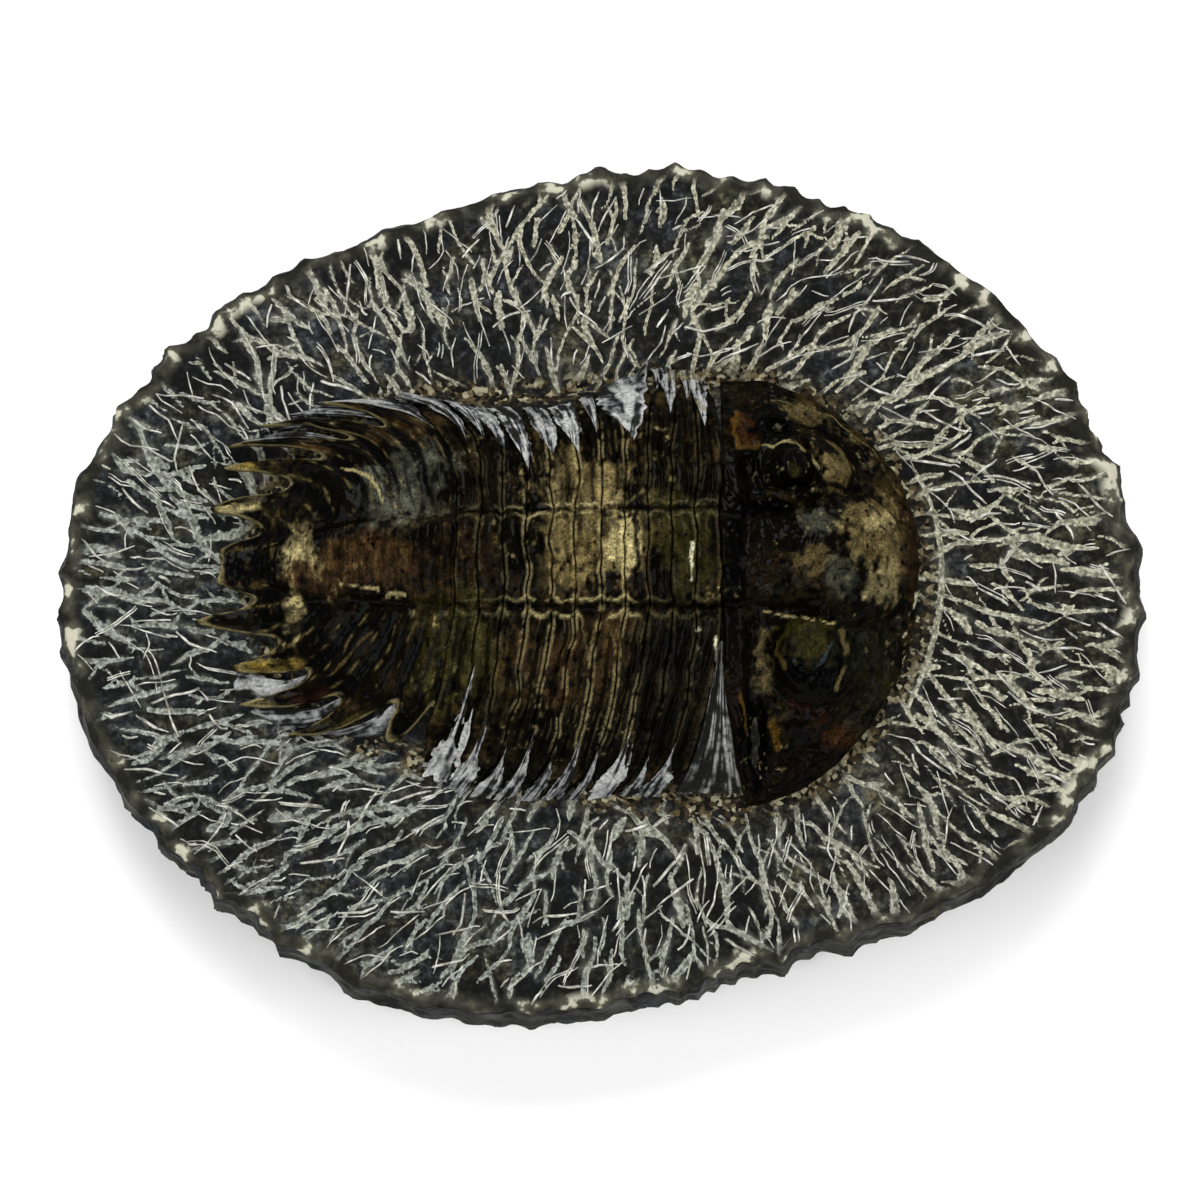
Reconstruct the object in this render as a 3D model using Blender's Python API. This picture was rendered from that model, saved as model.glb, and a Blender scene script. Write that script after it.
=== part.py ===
"""A fossil trilobite on its piece of matrix stone, with its head towards +X.

Sizes are in millimetres, and MM turns them into Blender's metres. They are measured from
a point inside the fossil, and BOX_MIDDLE is the middle of the stone's box from there, which
becomes the origin. The stone's flat base rests on Z = 0.
"""
from math import acos, atan2, cos, exp, hypot, pi, sin, sqrt, tau

import bmesh
import bpy

MM = 0.001
BOX_MIDDLE = (0.04, 1.2)
GAP = 0.3
MERGE = 0.01
OBJECT_NAME = "fossil_trilobite"

# The stone
RIM_HEIGHT = 15.6
COLLAR_HEIGHT = 17.4
WALL_FLARE = 1.3
WALL_LEDGE = 1.1
BASE_INSET = 1.6
CHIP_DEPTH = 0.8
CHIP_COUNT = 38
CHIP_LEAST = 0.7
# How the bites wander: waves round the stone, their phase and their strength
CHIP_WAVES = ((3, 0.4, 1.1), (7, 0.0, 0.8))
FLUTE_DEPTH = 0.35
FLUTE_COUNT = 40
FLUTE_FADE = (0.6, 0.8)
COLLAR_FALL = (0.55, 1.0)
# The top's two swells: their height, and their length along X and Y
BROAD_SWELL = (0.35, 8.0, 6.5)
SMALL_SWELL = (0.2, 4.1, 4.7)
# The ledges on the wall: waves round the stone, and how far they drift up and down
LEDGE_WAVES = (6.5, 4)
LEDGE_DRIFT = 0.5
LEDGE_DRIFT_WAVES = 7
STONE_SIDES = 120
# How far the stone reaches from the middle, every 20 degrees from the head end to the left
OUTLINE = (46.2, 45.3, 42.5, 40.2, 38.4, 36.6, 36.8, 41.0, 44.8,
           46.1, 44.1, 40.9, 38.6, 35.8, 34.2, 34.9, 39.5, 44.8)
# The stone's rings: parts of the way to the fossil's foot, then from there to the rim
INNER_RINGS = (0.0, 0.40, 0.65, 0.82, 0.93, 1.0)
OUTER_RINGS = (0.15, 0.40, 0.70, 0.90, 1.0)
# The wall's rings: part of the rim's height, and part of the flare
WALL_RINGS = ((0.84, 0.55), (0.45, 1.0), (0.14, 0.75))

# The fossil's back
AXIS_Y = 2.5
HEAD_FRONT = 26.8
HEAD_BACK = 10.0
TAIL_FRONT = -12.0
TAIL_END = -29.0
LEFT_WIDTHS = ((-12.0, 14.6), (-4.0, 14.8), (4.0, 16.0), (10.0, 16.0))
RIGHT_WIDTHS = ((-12.0, 16.4), (-6.0, 18.2), (4.0, 19.4), (10.0, 20.2))
CORE_HEIGHTS = ((-29.0, 5.2), (-12.0, 6.4), (4.0, 7.2), (16.0, 7.6), (27.0, 7.6))
SHELL = 0.9

# The ribs, counted from the head: eleven thoracic segments, five ribs of the tail, its end
SEGMENTS = 11
TAIL_START = 11.5
TAIL_TIP = 17.0
AXIS_SHARE = 0.2
RIB_ROOTS = ((0.5, 10.0), (12.0, -13.0), (13.0, -15.5), (14.0, -18.1), (15.0, -21.0),
             (16.0, -23.9), (17.0, -27.0))
AXIS_HALF_WIDTHS = ((0.5, 4.2), (11.0, 3.9), (14.0, 3.3), (16.0, 2.7), (16.9, 1.9), (17.0, 0.0))
LEFT_BENDS = ((0.5, 9.8, 15.0), (4.0, 3.3, 15.5), (8.0, -4.9, 12.5), (11.0, -10.2, 14.2),
              (12.0, -12.6, 16.3), (13.0, -16.0, 16.3), (14.0, -17.5, 14.8), (15.0, -21.0, 12.5),
              (16.0, -25.5, 8.8), (17.0, -29.0, 2.5))
LEFT_TIPS = ((0.5, 9.5, 17.9), (2.0, 7.2, 18.9), (4.0, 3.6, 19.0), (5.0, 0.4, 17.2),
             (7.0, -4.0, 15.6), (9.0, -8.8, 15.4), (10.0, -11.5, 16.0), (11.0, -14.7, 16.8),
             (12.0, -23.1, 16.5), (13.0, -28.4, 14.6), (14.0, -31.2, 12.8), (15.0, -31.6, 11.0),
             (16.0, -32.6, 7.6), (17.0, -31.8, 2.5))
RIGHT_BENDS = ((0.5, 9.0, -13.0), (8.0, -6.0, -13.0), (11.0, -12.0, -10.8), (12.0, -14.2, -9.4),
               (13.0, -17.5, -10.9), (14.0, -21.0, -9.2), (15.0, -24.0, -6.3),
               (16.0, -26.5, -2.6), (17.0, -29.0, 2.5))
RIGHT_TIPS = ((0.5, 6.3, -16.3), (8.0, -8.7, -16.5), (10.0, -12.7, -15.4), (11.0, -14.7, -13.8),
              (12.0, -17.5, -12.2), (13.0, -26.0, -11.6), (14.0, -30.2, -8.9),
              (15.0, -30.5, -5.9), (16.0, -33.9, -2.0), (17.0, -31.8, 2.5))
STATIONS = 20
# A segment's section, from its rear edge over the top and back: across, on top, lift
SECTION = ((-1.0, 1, -0.30), (-0.55, 1, 0.05), (0.0, 1, 0.0), (0.55, 1, 0.05), (1.0, 1, -0.30),
           (0.75, 0, 0.0), (-0.75, 0, 0.0))
RING_RISE = 1.5
RING_SINK = 0.1
RING_CREST = 0.2
RING_CREST_END = (0.18, 0.24)
AXIAL_FURROW = (0.2, 0.04)
FURROW_DEPTH = 0.30
FURROW_START = (0.22, 0.32)
FURROW_END = (0.7, 0.85)
TIP_START = 0.74
TIP_WIDTH = 0.12
TIP_THICKNESS = 0.6
TAIL_WAIST = 0.66
SPINE_SHARPNESS = 3
LAPPET_LENGTH = 0.95
LAPPET_START = (16.5, 16.75)
TAIL_RIB = 0.3
TAIL_RIB_START = (0.2, 0.34)
TAIL_RING = 0.15
TAIL_EDGE_DROP = 0.2
TAIL_FALL = 0.4
TAIL_FALL_LENGTH = 1.2
TAIL_ROWS = (0.0, 0.12, 0.2, 0.34, 0.50, 0.66, 0.80, 0.91, 1.0)
TAIL_COLUMNS = 44

# The head: places are across from the midline and along X
HEAD_COLUMNS = 32
HEAD_ROWS = 14
HEAD_REACH = 0.985
GENAL_SWING = 2.2
LOBE_X = 21.0
LOBE_LENGTH = 5.3
LOBE_WIDTH = 5.6
LOBE_RISE = 2.2
EYE_X = 17.4
EYE_ACROSS = 7.8
EYE_RADIUS = 2.9
EYE_RISE = 2.5
EYE_SLOPE = (0.9, 0.7)
NECK_HALF_WIDTH = 3.7
NECK_FLARE = 0.08
NECK_END = (17.0, 19.0)
EDGE_DROP = 0.35
BORDER_START = 0.93
BORDER_RISE = 0.25
# Furrows: their depth, where each lies, and its width
NECK_FURROW = (0.7, 12.2, 0.6)
NECK_FURROW_REACH = 1.5
REAR_FURROW = (0.7, 12.6, 0.8)
REAR_FURROW_START = (4.0, 5.5)
EYE_DITCH = (0.5, EYE_RADIUS + 1.3, 0.8)
BORDER_FURROW = (0.35, 0.88, 0.04)


def placed(x, y, z):
    """A point's place in Blender's metres, measured from the middle of the stone's base."""
    return (x - BOX_MIDDLE[0]) * MM, (y - BOX_MIDDLE[1]) * MM, z * MM


def step(low, high, value):
    """Rise smoothly from 0 at low to 1 at high."""
    part = min(max((value - low) / (high - low), 0.0), 1.0)
    return part * part * (3.0 - 2.0 * part)


def ridge(value, centre, width):
    """A smooth ridge of height 1 across one direction."""
    return exp(-((value - centre) / width) ** 2)


def read(table, at):
    """Read a table of (place, values...) at a place between its entries."""
    if at <= table[0][0]:
        return table[0][1:]
    for before, after in zip(table, table[1:]):
        if at <= after[0]:
            part = (at - before[0]) / (after[0] - before[0])
            return tuple(a + part * (b - a) for a, b in zip(before[1:], after[1:]))
    return table[-1][1:]


def reach(angle):
    """How far the stone reaches in one direction, on a smooth closed curve."""
    place = (angle % tau) / tau * len(OUTLINE)
    first = int(place)
    t = place - first
    a, b, c, d = (OUTLINE[(first + turn) % len(OUTLINE)] for turn in (-1, 0, 1, 2))
    return b + 0.5 * t * (c - a + t * (2 * a - 5 * b + 4 * c - d + t * (3 * (b - c) + d - a)))


def chip(angle):
    """The depth of the bites that were broken from the rim."""
    phase = CHIP_COUNT / 2 * angle
    phase += sum(strength * sin(count * angle + start) for count, start, strength in CHIP_WAVES)
    swing = (1.0 - CHIP_LEAST) * sin(5 * angle + 1.0)
    return CHIP_DEPTH * abs(sin(phase)) * (CHIP_LEAST + swing)


def stone_top(x, y):
    """The level of the prepared top, highest round the fossil and falling to the rim."""
    share = hypot(x, y) / reach(atan2(y, x))
    level = COLLAR_HEIGHT + (RIM_HEIGHT - COLLAR_HEIGHT) * step(*COLLAR_FALL, share)
    height, along, across = BROAD_SWELL
    level += height * sin(x / along + 1.0) * cos(y / across)
    height, along, across = SMALL_SWELL
    level += height * sin(x / along) * sin(y / across)
    turn = FLUTE_COUNT * atan2(y, x) + 2.0 * sin(hypot(x, y) / 3.0)
    return level - FLUTE_DEPTH * abs(sin(turn / 2)) * step(*FLUTE_FADE, share)


def footprint(x, y):
    """0 on the fossil's midline and 1 where its back meets the stone."""
    widths = LEFT_WIDTHS if y > AXIS_Y else RIGHT_WIDTHS
    across = (y - AXIS_Y) / read(widths, x)[0]
    ahead = max(x - HEAD_BACK, 0.0) / (HEAD_FRONT - HEAD_BACK)
    behind = max(TAIL_FRONT - x, 0.0) / (TAIL_FRONT - TAIL_END)
    return sqrt(across ** 2 + ahead ** 2 + behind ** 2)


def core(x, y):
    """The stone that fills the fossil's arched back, and the open top round it."""
    inside = min(footprint(x, y), 1.0)
    return stone_top(x, y) + read(CORE_HEIGHTS, x)[0] * (1.0 - inside ** 3)


def foot_distance(angle):
    """How far from the middle the fossil's back meets the stone, in one direction."""
    near, far = 0.0, 40.0
    for halving in range(24):
        middle = (near + far) / 2
        if footprint(middle * cos(angle), middle * sin(angle)) < 1.0:
            near = middle
        else:
            far = middle
    return near


def rib_point(n, side, u):
    """A point in plan on rib n: u is 0 on the midline, AXIS_SHARE at the furrow, 1 at the tip."""
    root = read(RIB_ROOTS, n)[0]
    half_axis = read(AXIS_HALF_WIDTHS, n)[0]
    if u <= AXIS_SHARE:
        return root, AXIS_Y + side * half_axis * u / AXIS_SHARE
    t = (u - AXIS_SHARE) / (1.0 - AXIS_SHARE)
    bend = read(LEFT_BENDS if side > 0 else RIGHT_BENDS, n)
    tip = read(LEFT_TIPS if side > 0 else RIGHT_TIPS, n)
    start = (root, AXIS_Y + side * half_axis)
    return tuple((1 - t) ** 2 * a + 2 * t * (1 - t) * b + t * t * c
                 for a, b, c in zip(start, bend, tip))


def ring_rise(u):
    """The height of the axis over the ribs, with the furrow beside it."""
    if u < AXIS_SHARE:
        return RING_RISE * sqrt(1.0 - (u / AXIS_SHARE) ** 4) - RING_SINK
    depth, width = AXIAL_FURROW
    return -depth * ridge(u, AXIS_SHARE, width)


def material(name, colour, roughness):
    """A plain dielectric material."""
    made = bpy.data.materials.new(name)
    made.use_nodes = True
    shader = made.node_tree.nodes["Principled BSDF"]
    shader.inputs["Base Color"].default_value = (*colour, 1.0)
    shader.inputs["Roughness"].default_value = roughness
    shader.inputs["Metallic"].default_value = 0.0
    return made


def finish(bm, name, made_of, collection):
    """Turn a finished mesh into an object of the part."""
    bmesh.ops.recalc_face_normals(bm, faces=bm.faces)
    if bm.calc_volume(signed=True) < 0:
        bmesh.ops.reverse_faces(bm, faces=bm.faces)
    mesh = bpy.data.meshes.new(name)
    bm.to_mesh(mesh)
    bm.free()
    mesh.materials.append(made_of)
    mesh.shade_smooth()
    mesh.set_sharp_from_angle(angle=pi / 5)
    piece = bpy.data.objects.new(name, mesh)
    collection.objects.link(piece)
    return piece


def stone_ring(ring, angle):
    """One point of the stone: over the top, down the wall and under the base."""
    foot = foot_distance(angle)
    edge = reach(angle) - chip(angle)
    rim = edge - WALL_FLARE
    if ring < len(INNER_RINGS):
        out = INNER_RINGS[ring] * foot
        return out, core(out * cos(angle), out * sin(angle))
    ring -= len(INNER_RINGS)
    if ring < len(OUTER_RINGS):
        out = foot + OUTER_RINGS[ring] * (rim - foot)
        return out, core(out * cos(angle), out * sin(angle))
    ring -= len(OUTER_RINGS)
    if ring < len(WALL_RINGS):
        height, flare = WALL_RINGS[ring]
        fine, coarse = LEDGE_WAVES
        ledge = WALL_LEDGE * abs(sin(fine * angle + 1.9 * ring) * cos(coarse * angle - ring))
        drift = LEDGE_DRIFT * sin(LEDGE_DRIFT_WAVES * angle)
        return rim + flare * WALL_FLARE - ledge, height * RIM_HEIGHT + drift
    return (reach(angle) - BASE_INSET, 0.0) if ring == len(WALL_RINGS) else (0.0, 0.0)


def make_stone(collection):
    """The matrix: a ball's rings and meridians drawn over the whole stone."""
    rings = len(INNER_RINGS) + len(OUTER_RINGS) + len(WALL_RINGS) + 1
    bm = bmesh.new()
    bmesh.ops.create_uvsphere(bm, u_segments=STONE_SIDES, v_segments=rings, radius=1.0)
    for vertex in bm.verts:
        ring = round(acos(max(-1.0, min(1.0, vertex.co.z))) / pi * rings)
        angle = atan2(vertex.co.y, vertex.co.x)
        out, height = stone_ring(ring, angle)
        vertex.co = placed(out * cos(angle), out * sin(angle), height)
    return finish(bm, "matrix", material("matrix_stone", (0.036, 0.038, 0.038), 0.85), collection)


def segment_point(n, along, corner):
    """One point of a thoracic segment, from its right tip at -1 to its left tip at 1."""
    across, on_top, lift = SECTION[corner]
    u = abs(along)
    side = 1 if along >= 0 else -1
    taper = 1.0 - (1.0 - TIP_WIDTH) * step(TIP_START, 1.0, u)
    pitch = HEAD_BACK - read(RIB_ROOTS, 1.5)[0]
    half = (0.5 - GAP / 2 / pitch) * taper
    x, y = rib_point(n - across * half, side, u)
    height = core(x, y) + GAP
    if on_top:
        groove = FURROW_DEPTH * step(*FURROW_START, u) * (1.0 - step(*FURROW_END, u))
        crest = RING_CREST * (1.0 - step(*RING_CREST_END, u))
        middle = crest - groove if across == 0.0 else 0.0
        thickness = SHELL * (TIP_THICKNESS + (1.0 - TIP_THICKNESS) * taper)
        height += thickness + ring_rise(u) + lift * taper + middle
    return x, y, height


def make_segment(n, made_of, collection):
    """A thoracic segment: a seven-sided bar bent over the back, with tapered tips."""
    bm = bmesh.new()
    bmesh.ops.create_cone(bm, cap_ends=True, segments=len(SECTION), radius1=1.0, radius2=1.0,
                          depth=2.0)
    lengthwise = [edge for edge in bm.edges
                  if abs(edge.verts[0].co.z - edge.verts[1].co.z) > 1.0]
    bmesh.ops.subdivide_edges(bm, edges=lengthwise, cuts=STATIONS - 2)
    for vertex in bm.verts:
        angle = atan2(vertex.co.y, vertex.co.x) % tau
        corner = round(angle / tau * len(SECTION)) % len(SECTION)
        vertex.co = placed(*segment_point(n, vertex.co.z, corner))
    return finish(bm, f"thoracic_segment_{n:02d}", made_of, collection)


def slab(columns, rows):
    """A flat slab of unit squares, with its corner at the origin and its top at 1."""
    bm = bmesh.new()
    bmesh.ops.create_grid(bm, x_segments=columns, y_segments=rows, size=0.5)
    for vertex in bm.verts:
        vertex.co = (round((vertex.co.x + 0.5) * columns), round((vertex.co.y + 0.5) * rows), 0)
    grown = bmesh.ops.extrude_face_region(bm, geom=bm.faces[:])["geom"]
    tops = [item for item in grown if isinstance(item, bmesh.types.BMVert)]
    bmesh.ops.translate(bm, verts=tops, vec=(0.0, 0.0, 1.0))
    return bm


def furrow(kind, at):
    """A furrow's depth at a place across it."""
    depth, middle, width = kind
    return depth * ridge(at, middle, width)


def head_relief(x, across):
    """The head's own shape over its arch: glabella, eyes, furrows and borders."""
    lobe = ((x - LOBE_X) / LOBE_LENGTH) ** 2 + (across / LOBE_WIDTH) ** 2
    front = LOBE_RISE * sqrt(max(0.0, 1.0 - lobe ** 2))
    half = NECK_HALF_WIDTH + NECK_FLARE * (x - HEAD_BACK)
    rear = RING_RISE * sqrt(max(0.0, 1.0 - (across / half) ** 4)) * (1.0 - step(*NECK_END, x))
    rear -= furrow(NECK_FURROW, x) * step(0.0, half, abs(across) + NECK_FURROW_REACH)
    eye = hypot(x - EYE_X, abs(across) - EYE_ACROSS)
    inward, outward = EYE_SLOPE
    turret = EYE_RISE * (1.0 - step(EYE_RADIUS - inward, EYE_RADIUS + outward, eye))
    behind = furrow(REAR_FURROW, x) * step(*REAR_FURROW_START, abs(across))
    return max(front, rear) + turret - furrow(EYE_DITCH, eye) - behind


def head_point(column, row, layer):
    """One point of the head shield."""
    s = column / HEAD_COLUMNS * 2.0 - 1.0
    c = HEAD_REACH * (0.6 * s + 0.4 * sin(s * pi / 2))
    width = read(LEFT_WIDTHS if c > 0 else RIGHT_WIDTHS, HEAD_BACK)[0]
    front = HEAD_BACK + (HEAD_FRONT - HEAD_BACK) * sqrt(1.0 - c * c)
    back = HEAD_BACK + GAP / 2 + (GENAL_SWING * abs(c) ** 3 if c < 0 else 0.0)
    part = row / HEAD_ROWS
    x = back + part * (front - back)
    y = AXIS_Y + c * width
    height = core(x, y) + GAP
    if layer:
        inside = footprint(x, y)
        border = BORDER_RISE * (inside > BORDER_START) - furrow(BORDER_FURROW, inside)
        edge = EDGE_DROP if part in (0.0, 1.0) or abs(s) == 1.0 else 0.0
        height += SHELL + head_relief(x, y - AXIS_Y) + border - edge
    return x, y, height


def make_head(made_of, collection):
    """The head shield: a slab laid over the front of the arch."""
    bm = slab(HEAD_COLUMNS, HEAD_ROWS)
    for vertex in bm.verts:
        vertex.co = placed(*head_point(*vertex.co))
    return finish(bm, "cephalon", made_of, collection)


def tail_point(column, row, layer):
    """One point of the tail shield: columns run along its ribs, from right front to left."""
    half = TAIL_COLUMNS / 2
    side = 1 if column > half else -1
    start = TAIL_START + GAP / 2 / (read(RIB_ROOTS, 11.0)[0] - read(RIB_ROOTS, 12.0)[0])
    n = TAIL_TIP - abs(column - half) / half * (TAIL_TIP - TAIL_START)
    spine = max(abs(cos(pi * n)) ** SPINE_SHARPNESS, LAPPET_LENGTH * step(*LAPPET_START, n))
    n = max(n, start)
    u = TAIL_ROWS[int(row)]
    if u > AXIS_SHARE:
        length = TAIL_WAIST + (1.0 - TAIL_WAIST) * spine
        u = AXIS_SHARE + (u - AXIS_SHARE) * (length - AXIS_SHARE) / (1.0 - AXIS_SHARE)
    x, y = rib_point(n, side, u)
    height = core(x, y) + GAP
    if layer:
        rib = TAIL_RIB * cos(tau * n) * step(*TAIL_RIB_START, u)
        rings = TAIL_RING * cos(2 * tau * n) * (u < AXIS_SHARE)
        edge = TAIL_EDGE_DROP if TAIL_ROWS[int(row)] == 1.0 else 0.0
        fall = 1.0 - TAIL_FALL * step(TAIL_TIP - TAIL_FALL_LENGTH, TAIL_TIP, n)
        height += SHELL + ring_rise(u) * fall + rib + rings - edge
    return x, y, height


def make_tail(made_of, collection):
    """The tail shield: a slab folded round the end of the axis, with spines at its edge."""
    bm = slab(TAIL_COLUMNS, len(TAIL_ROWS) - 1)
    seam = [face for face in bm.faces if all(vertex.co.y == 0 for vertex in face.verts)]
    bmesh.ops.delete(bm, geom=seam, context="FACES")
    for vertex in bm.verts:
        vertex.co = placed(*tail_point(*vertex.co))
    bmesh.ops.remove_doubles(bm, verts=bm.verts, dist=MERGE * MM)
    return finish(bm, "pygidium", made_of, collection)


def clear_scene():
    """Remove whatever the scene holds."""
    for item in list(bpy.data.objects):
        bpy.data.objects.remove(item, do_unlink=True)


def main():
    """Make the stone and the fossil's thirteen pieces on it."""
    clear_scene()
    collection = bpy.data.collections.new(OBJECT_NAME)
    bpy.context.scene.collection.children.link(collection)
    make_stone(collection)
    make_head(material("head_shell", (0.060, 0.048, 0.022), 0.45), collection)
    thorax = material("thorax_shell", (0.085, 0.068, 0.032), 0.45)
    for n in range(1, SEGMENTS + 1):
        make_segment(n, thorax, collection)
    make_tail(material("tail_shell", (0.070, 0.055, 0.025), 0.45), collection)


main()
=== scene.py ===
"""The looks of a fossil trilobite on its piece of dark limestone, prepared with an air scribe.

Sizes are in millimetres, and MM turns them into Blender's metres. Places are measured from
a point inside the fossil, with its head towards +X, and BOX_MIDDLE is the middle of the
stone's box from there. The construction's own shapes come first, and the looks follow them.
"""

from math import cos, pi, radians, sin, tau

import bmesh
import bpy
import numpy as np
from mathutils import Matrix, Vector


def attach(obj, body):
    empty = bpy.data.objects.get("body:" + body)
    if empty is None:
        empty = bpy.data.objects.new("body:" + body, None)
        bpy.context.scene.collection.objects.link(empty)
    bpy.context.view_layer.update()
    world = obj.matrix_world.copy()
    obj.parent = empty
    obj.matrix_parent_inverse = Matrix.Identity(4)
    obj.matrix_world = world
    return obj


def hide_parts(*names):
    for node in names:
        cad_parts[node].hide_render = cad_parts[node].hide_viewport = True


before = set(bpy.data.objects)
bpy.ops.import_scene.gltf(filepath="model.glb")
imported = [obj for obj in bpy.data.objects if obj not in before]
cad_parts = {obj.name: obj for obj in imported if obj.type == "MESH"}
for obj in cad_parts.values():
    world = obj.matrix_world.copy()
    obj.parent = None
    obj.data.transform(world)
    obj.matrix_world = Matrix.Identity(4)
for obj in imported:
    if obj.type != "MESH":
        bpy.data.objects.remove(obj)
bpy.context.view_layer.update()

MM = 0.001
BOX_MIDDLE = (0.04, 1.2)
GAP = 0.3
MERGE = 0.0005

# The stone, as it is constructed
RIM_HEIGHT = 15.6
COLLAR_HEIGHT = 17.4
COLLAR_FALL = (0.55, 1.0)
WALL_FLARE = 1.3
CHIP_DEPTH = 0.8
CHIP_COUNT = 38
CHIP_LEAST = 0.7
# How the bites wander: waves round the stone, their phase and their strength
CHIP_WAVES = ((3, 0.4, 1.1), (7, 0.0, 0.8))
FLUTE_DEPTH = 0.35
FLUTE_COUNT = 40
FLUTE_FADE = (0.6, 0.8)
# The top's two swells: their height, and their length along X and Y
BROAD_SWELL = (0.35, 8.0, 6.5)
SMALL_SWELL = (0.2, 4.1, 4.7)
# How far the stone reaches from the middle, every 20 degrees from the head end to the left
OUTLINE = (46.2, 45.3, 42.5, 40.2, 38.4, 36.6, 36.8, 41.0, 44.8,
           46.1, 44.1, 40.9, 38.6, 35.8, 34.2, 34.9, 39.5, 44.8)

# The stone as it shows: the small bites in its rim, its broken wall and its uneven ground.
# A layer of lumps is its height, its lumps' size and its seed.
SCALLOP_DEPTH = 0.5
SCALLOP_COUNT = 47.0
SCALLOP_LEAST = 0.15
RIM_SHARE = 0.55
RIM_SPARE = 0.35
RIM_DROP = 0.5
RIM_ROUND = (0.975, 1.0)
RIM_BAND = (0.955, 0.985)
WALL_SWELL = ((0.0, -0.6), (0.14, 0.35), (0.45, 0.55), (0.84, 0.25), (1.0, 0.0))
WALL_BREAKS = ((0.9, 6.0, 31), (0.45, 2.6, 37))
WALL_GRIT = ((0.12, 0.9, 41), (0.06, 0.45, 43))
WALL_MEAN = 0.35
WALL_FADE = (0.0, 0.04, 0.93, 1.0)
OPEN_TOP = (0.97, 1.02)
GROUND_HEIGHT = 0.30
GROUND_GRAIN = 0.05
GROUND_WEAR = 0.06
CRUMB_HEIGHT = 0.16
CRUMB_ZONE = (0.93, 1.0, 1.04, 1.16)
CRUMB_BAND = (0.9, 0.98, 1.03, 1.12)

# The fossil's back, as it is constructed
AXIS_Y = 2.5
HEAD_FRONT = 26.8
HEAD_BACK = 10.0
TAIL_FRONT = -12.0
TAIL_END = -29.0
LEFT_WIDTHS = ((-12.0, 14.6), (-4.0, 14.8), (4.0, 16.0), (10.0, 16.0))
RIGHT_WIDTHS = ((-12.0, 16.4), (-6.0, 18.2), (4.0, 19.4), (10.0, 20.2))
CORE_HEIGHTS = ((-29.0, 5.2), (-12.0, 6.4), (4.0, 7.2), (16.0, 7.6), (27.0, 7.6))
SHELL = 0.9
SEGMENTS = 11
TAIL_START = 11.5
TAIL_TIP = 17.0
AXIS_SHARE = 0.2
RIB_ROOTS = ((0.5, 10.0), (12.0, -13.0), (13.0, -15.5), (14.0, -18.1), (15.0, -21.0),
             (16.0, -23.9), (17.0, -27.0))
AXIS_HALF_WIDTHS = ((0.5, 4.2), (11.0, 3.9), (14.0, 3.3), (16.0, 2.7), (16.9, 1.9), (17.0, 0.0))
LEFT_BENDS = ((0.5, 9.8, 15.0), (4.0, 3.3, 15.5), (8.0, -4.9, 12.5), (11.0, -10.2, 14.2),
              (12.0, -12.6, 16.3), (13.0, -16.0, 16.3), (14.0, -17.5, 14.8), (15.0, -21.0, 12.5),
              (16.0, -25.5, 8.8), (17.0, -29.0, 2.5))
LEFT_TIPS = ((0.5, 9.5, 17.9), (2.0, 7.2, 18.9), (4.0, 3.6, 19.0), (5.0, 0.4, 17.2),
             (7.0, -4.0, 15.6), (9.0, -8.8, 15.4), (10.0, -11.5, 16.0), (11.0, -14.7, 16.8),
             (12.0, -23.1, 16.5), (13.0, -28.4, 14.6), (14.0, -31.2, 12.8), (15.0, -31.6, 11.0),
             (16.0, -32.6, 7.6), (17.0, -31.8, 2.5))
RIGHT_BENDS = ((0.5, 9.0, -13.0), (8.0, -6.0, -13.0), (11.0, -12.0, -10.8), (12.0, -14.2, -9.4),
               (13.0, -17.5, -10.9), (14.0, -21.0, -9.2), (15.0, -24.0, -6.3),
               (16.0, -26.5, -2.6), (17.0, -29.0, 2.5))
RIGHT_TIPS = ((0.5, 6.3, -16.3), (8.0, -8.7, -16.5), (10.0, -12.7, -15.4), (11.0, -14.7, -13.8),
              (12.0, -17.5, -12.2), (13.0, -26.0, -11.6), (14.0, -30.2, -8.9),
              (15.0, -30.5, -5.9), (16.0, -33.9, -2.0), (17.0, -31.8, 2.5))
RING_RISE = 1.5
RING_SINK = 0.1
AXIAL_FURROW = (0.2, 0.04)
TIP_START = 0.74
TIP_WIDTH = 0.12
TIP_THICKNESS = 0.6
TAIL_WAIST = 0.66
SPINE_SHARPNESS = 3
LAPPET_LENGTH = 0.95
LAPPET_START = (16.5, 16.75)
TAIL_RIB = 0.3
TAIL_RIB_START = (0.2, 0.34)
TAIL_RING = 0.15
TAIL_RING_END = (0.17, 0.21)
TAIL_EDGE = (0.97, 1.0)
TAIL_EDGE_DROP = 0.2
TAIL_FALL = 0.4
TAIL_FALL_LENGTH = 1.2
HEAD_REACH = 0.985
GENAL_SWING = 2.2
LOBE_X = 21.0
LOBE_LENGTH = 5.3
LOBE_WIDTH = 5.6
LOBE_RISE = 2.2
EYE_X = 17.4
EYE_ACROSS = 7.8
EYE_RADIUS = 2.9
EYE_RISE = 2.5
EYE_SLOPE = (0.9, 0.7)
NECK_HALF_WIDTH = 3.7
NECK_FLARE = 0.08
NECK_END = (17.0, 19.0)
BORDER_RISE = 0.25
BORDER_START = (0.91, 0.95)
EDGE_DROP = 0.35
EDGE_SHARPNESS = 60
# Furrows and ridges: their depth or height, where each lies, and its width
NECK_FURROW = (0.7, 12.2, 0.6)
NECK_FURROW_REACH = 1.5
REAR_FURROW = (0.7, 12.6, 0.8)
REAR_FURROW_START = (4.0, 5.5)
EYE_DITCH = (0.5, EYE_RADIUS + 1.3, 0.8)
BORDER_FURROW = (0.35, 0.88, 0.04)

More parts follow.
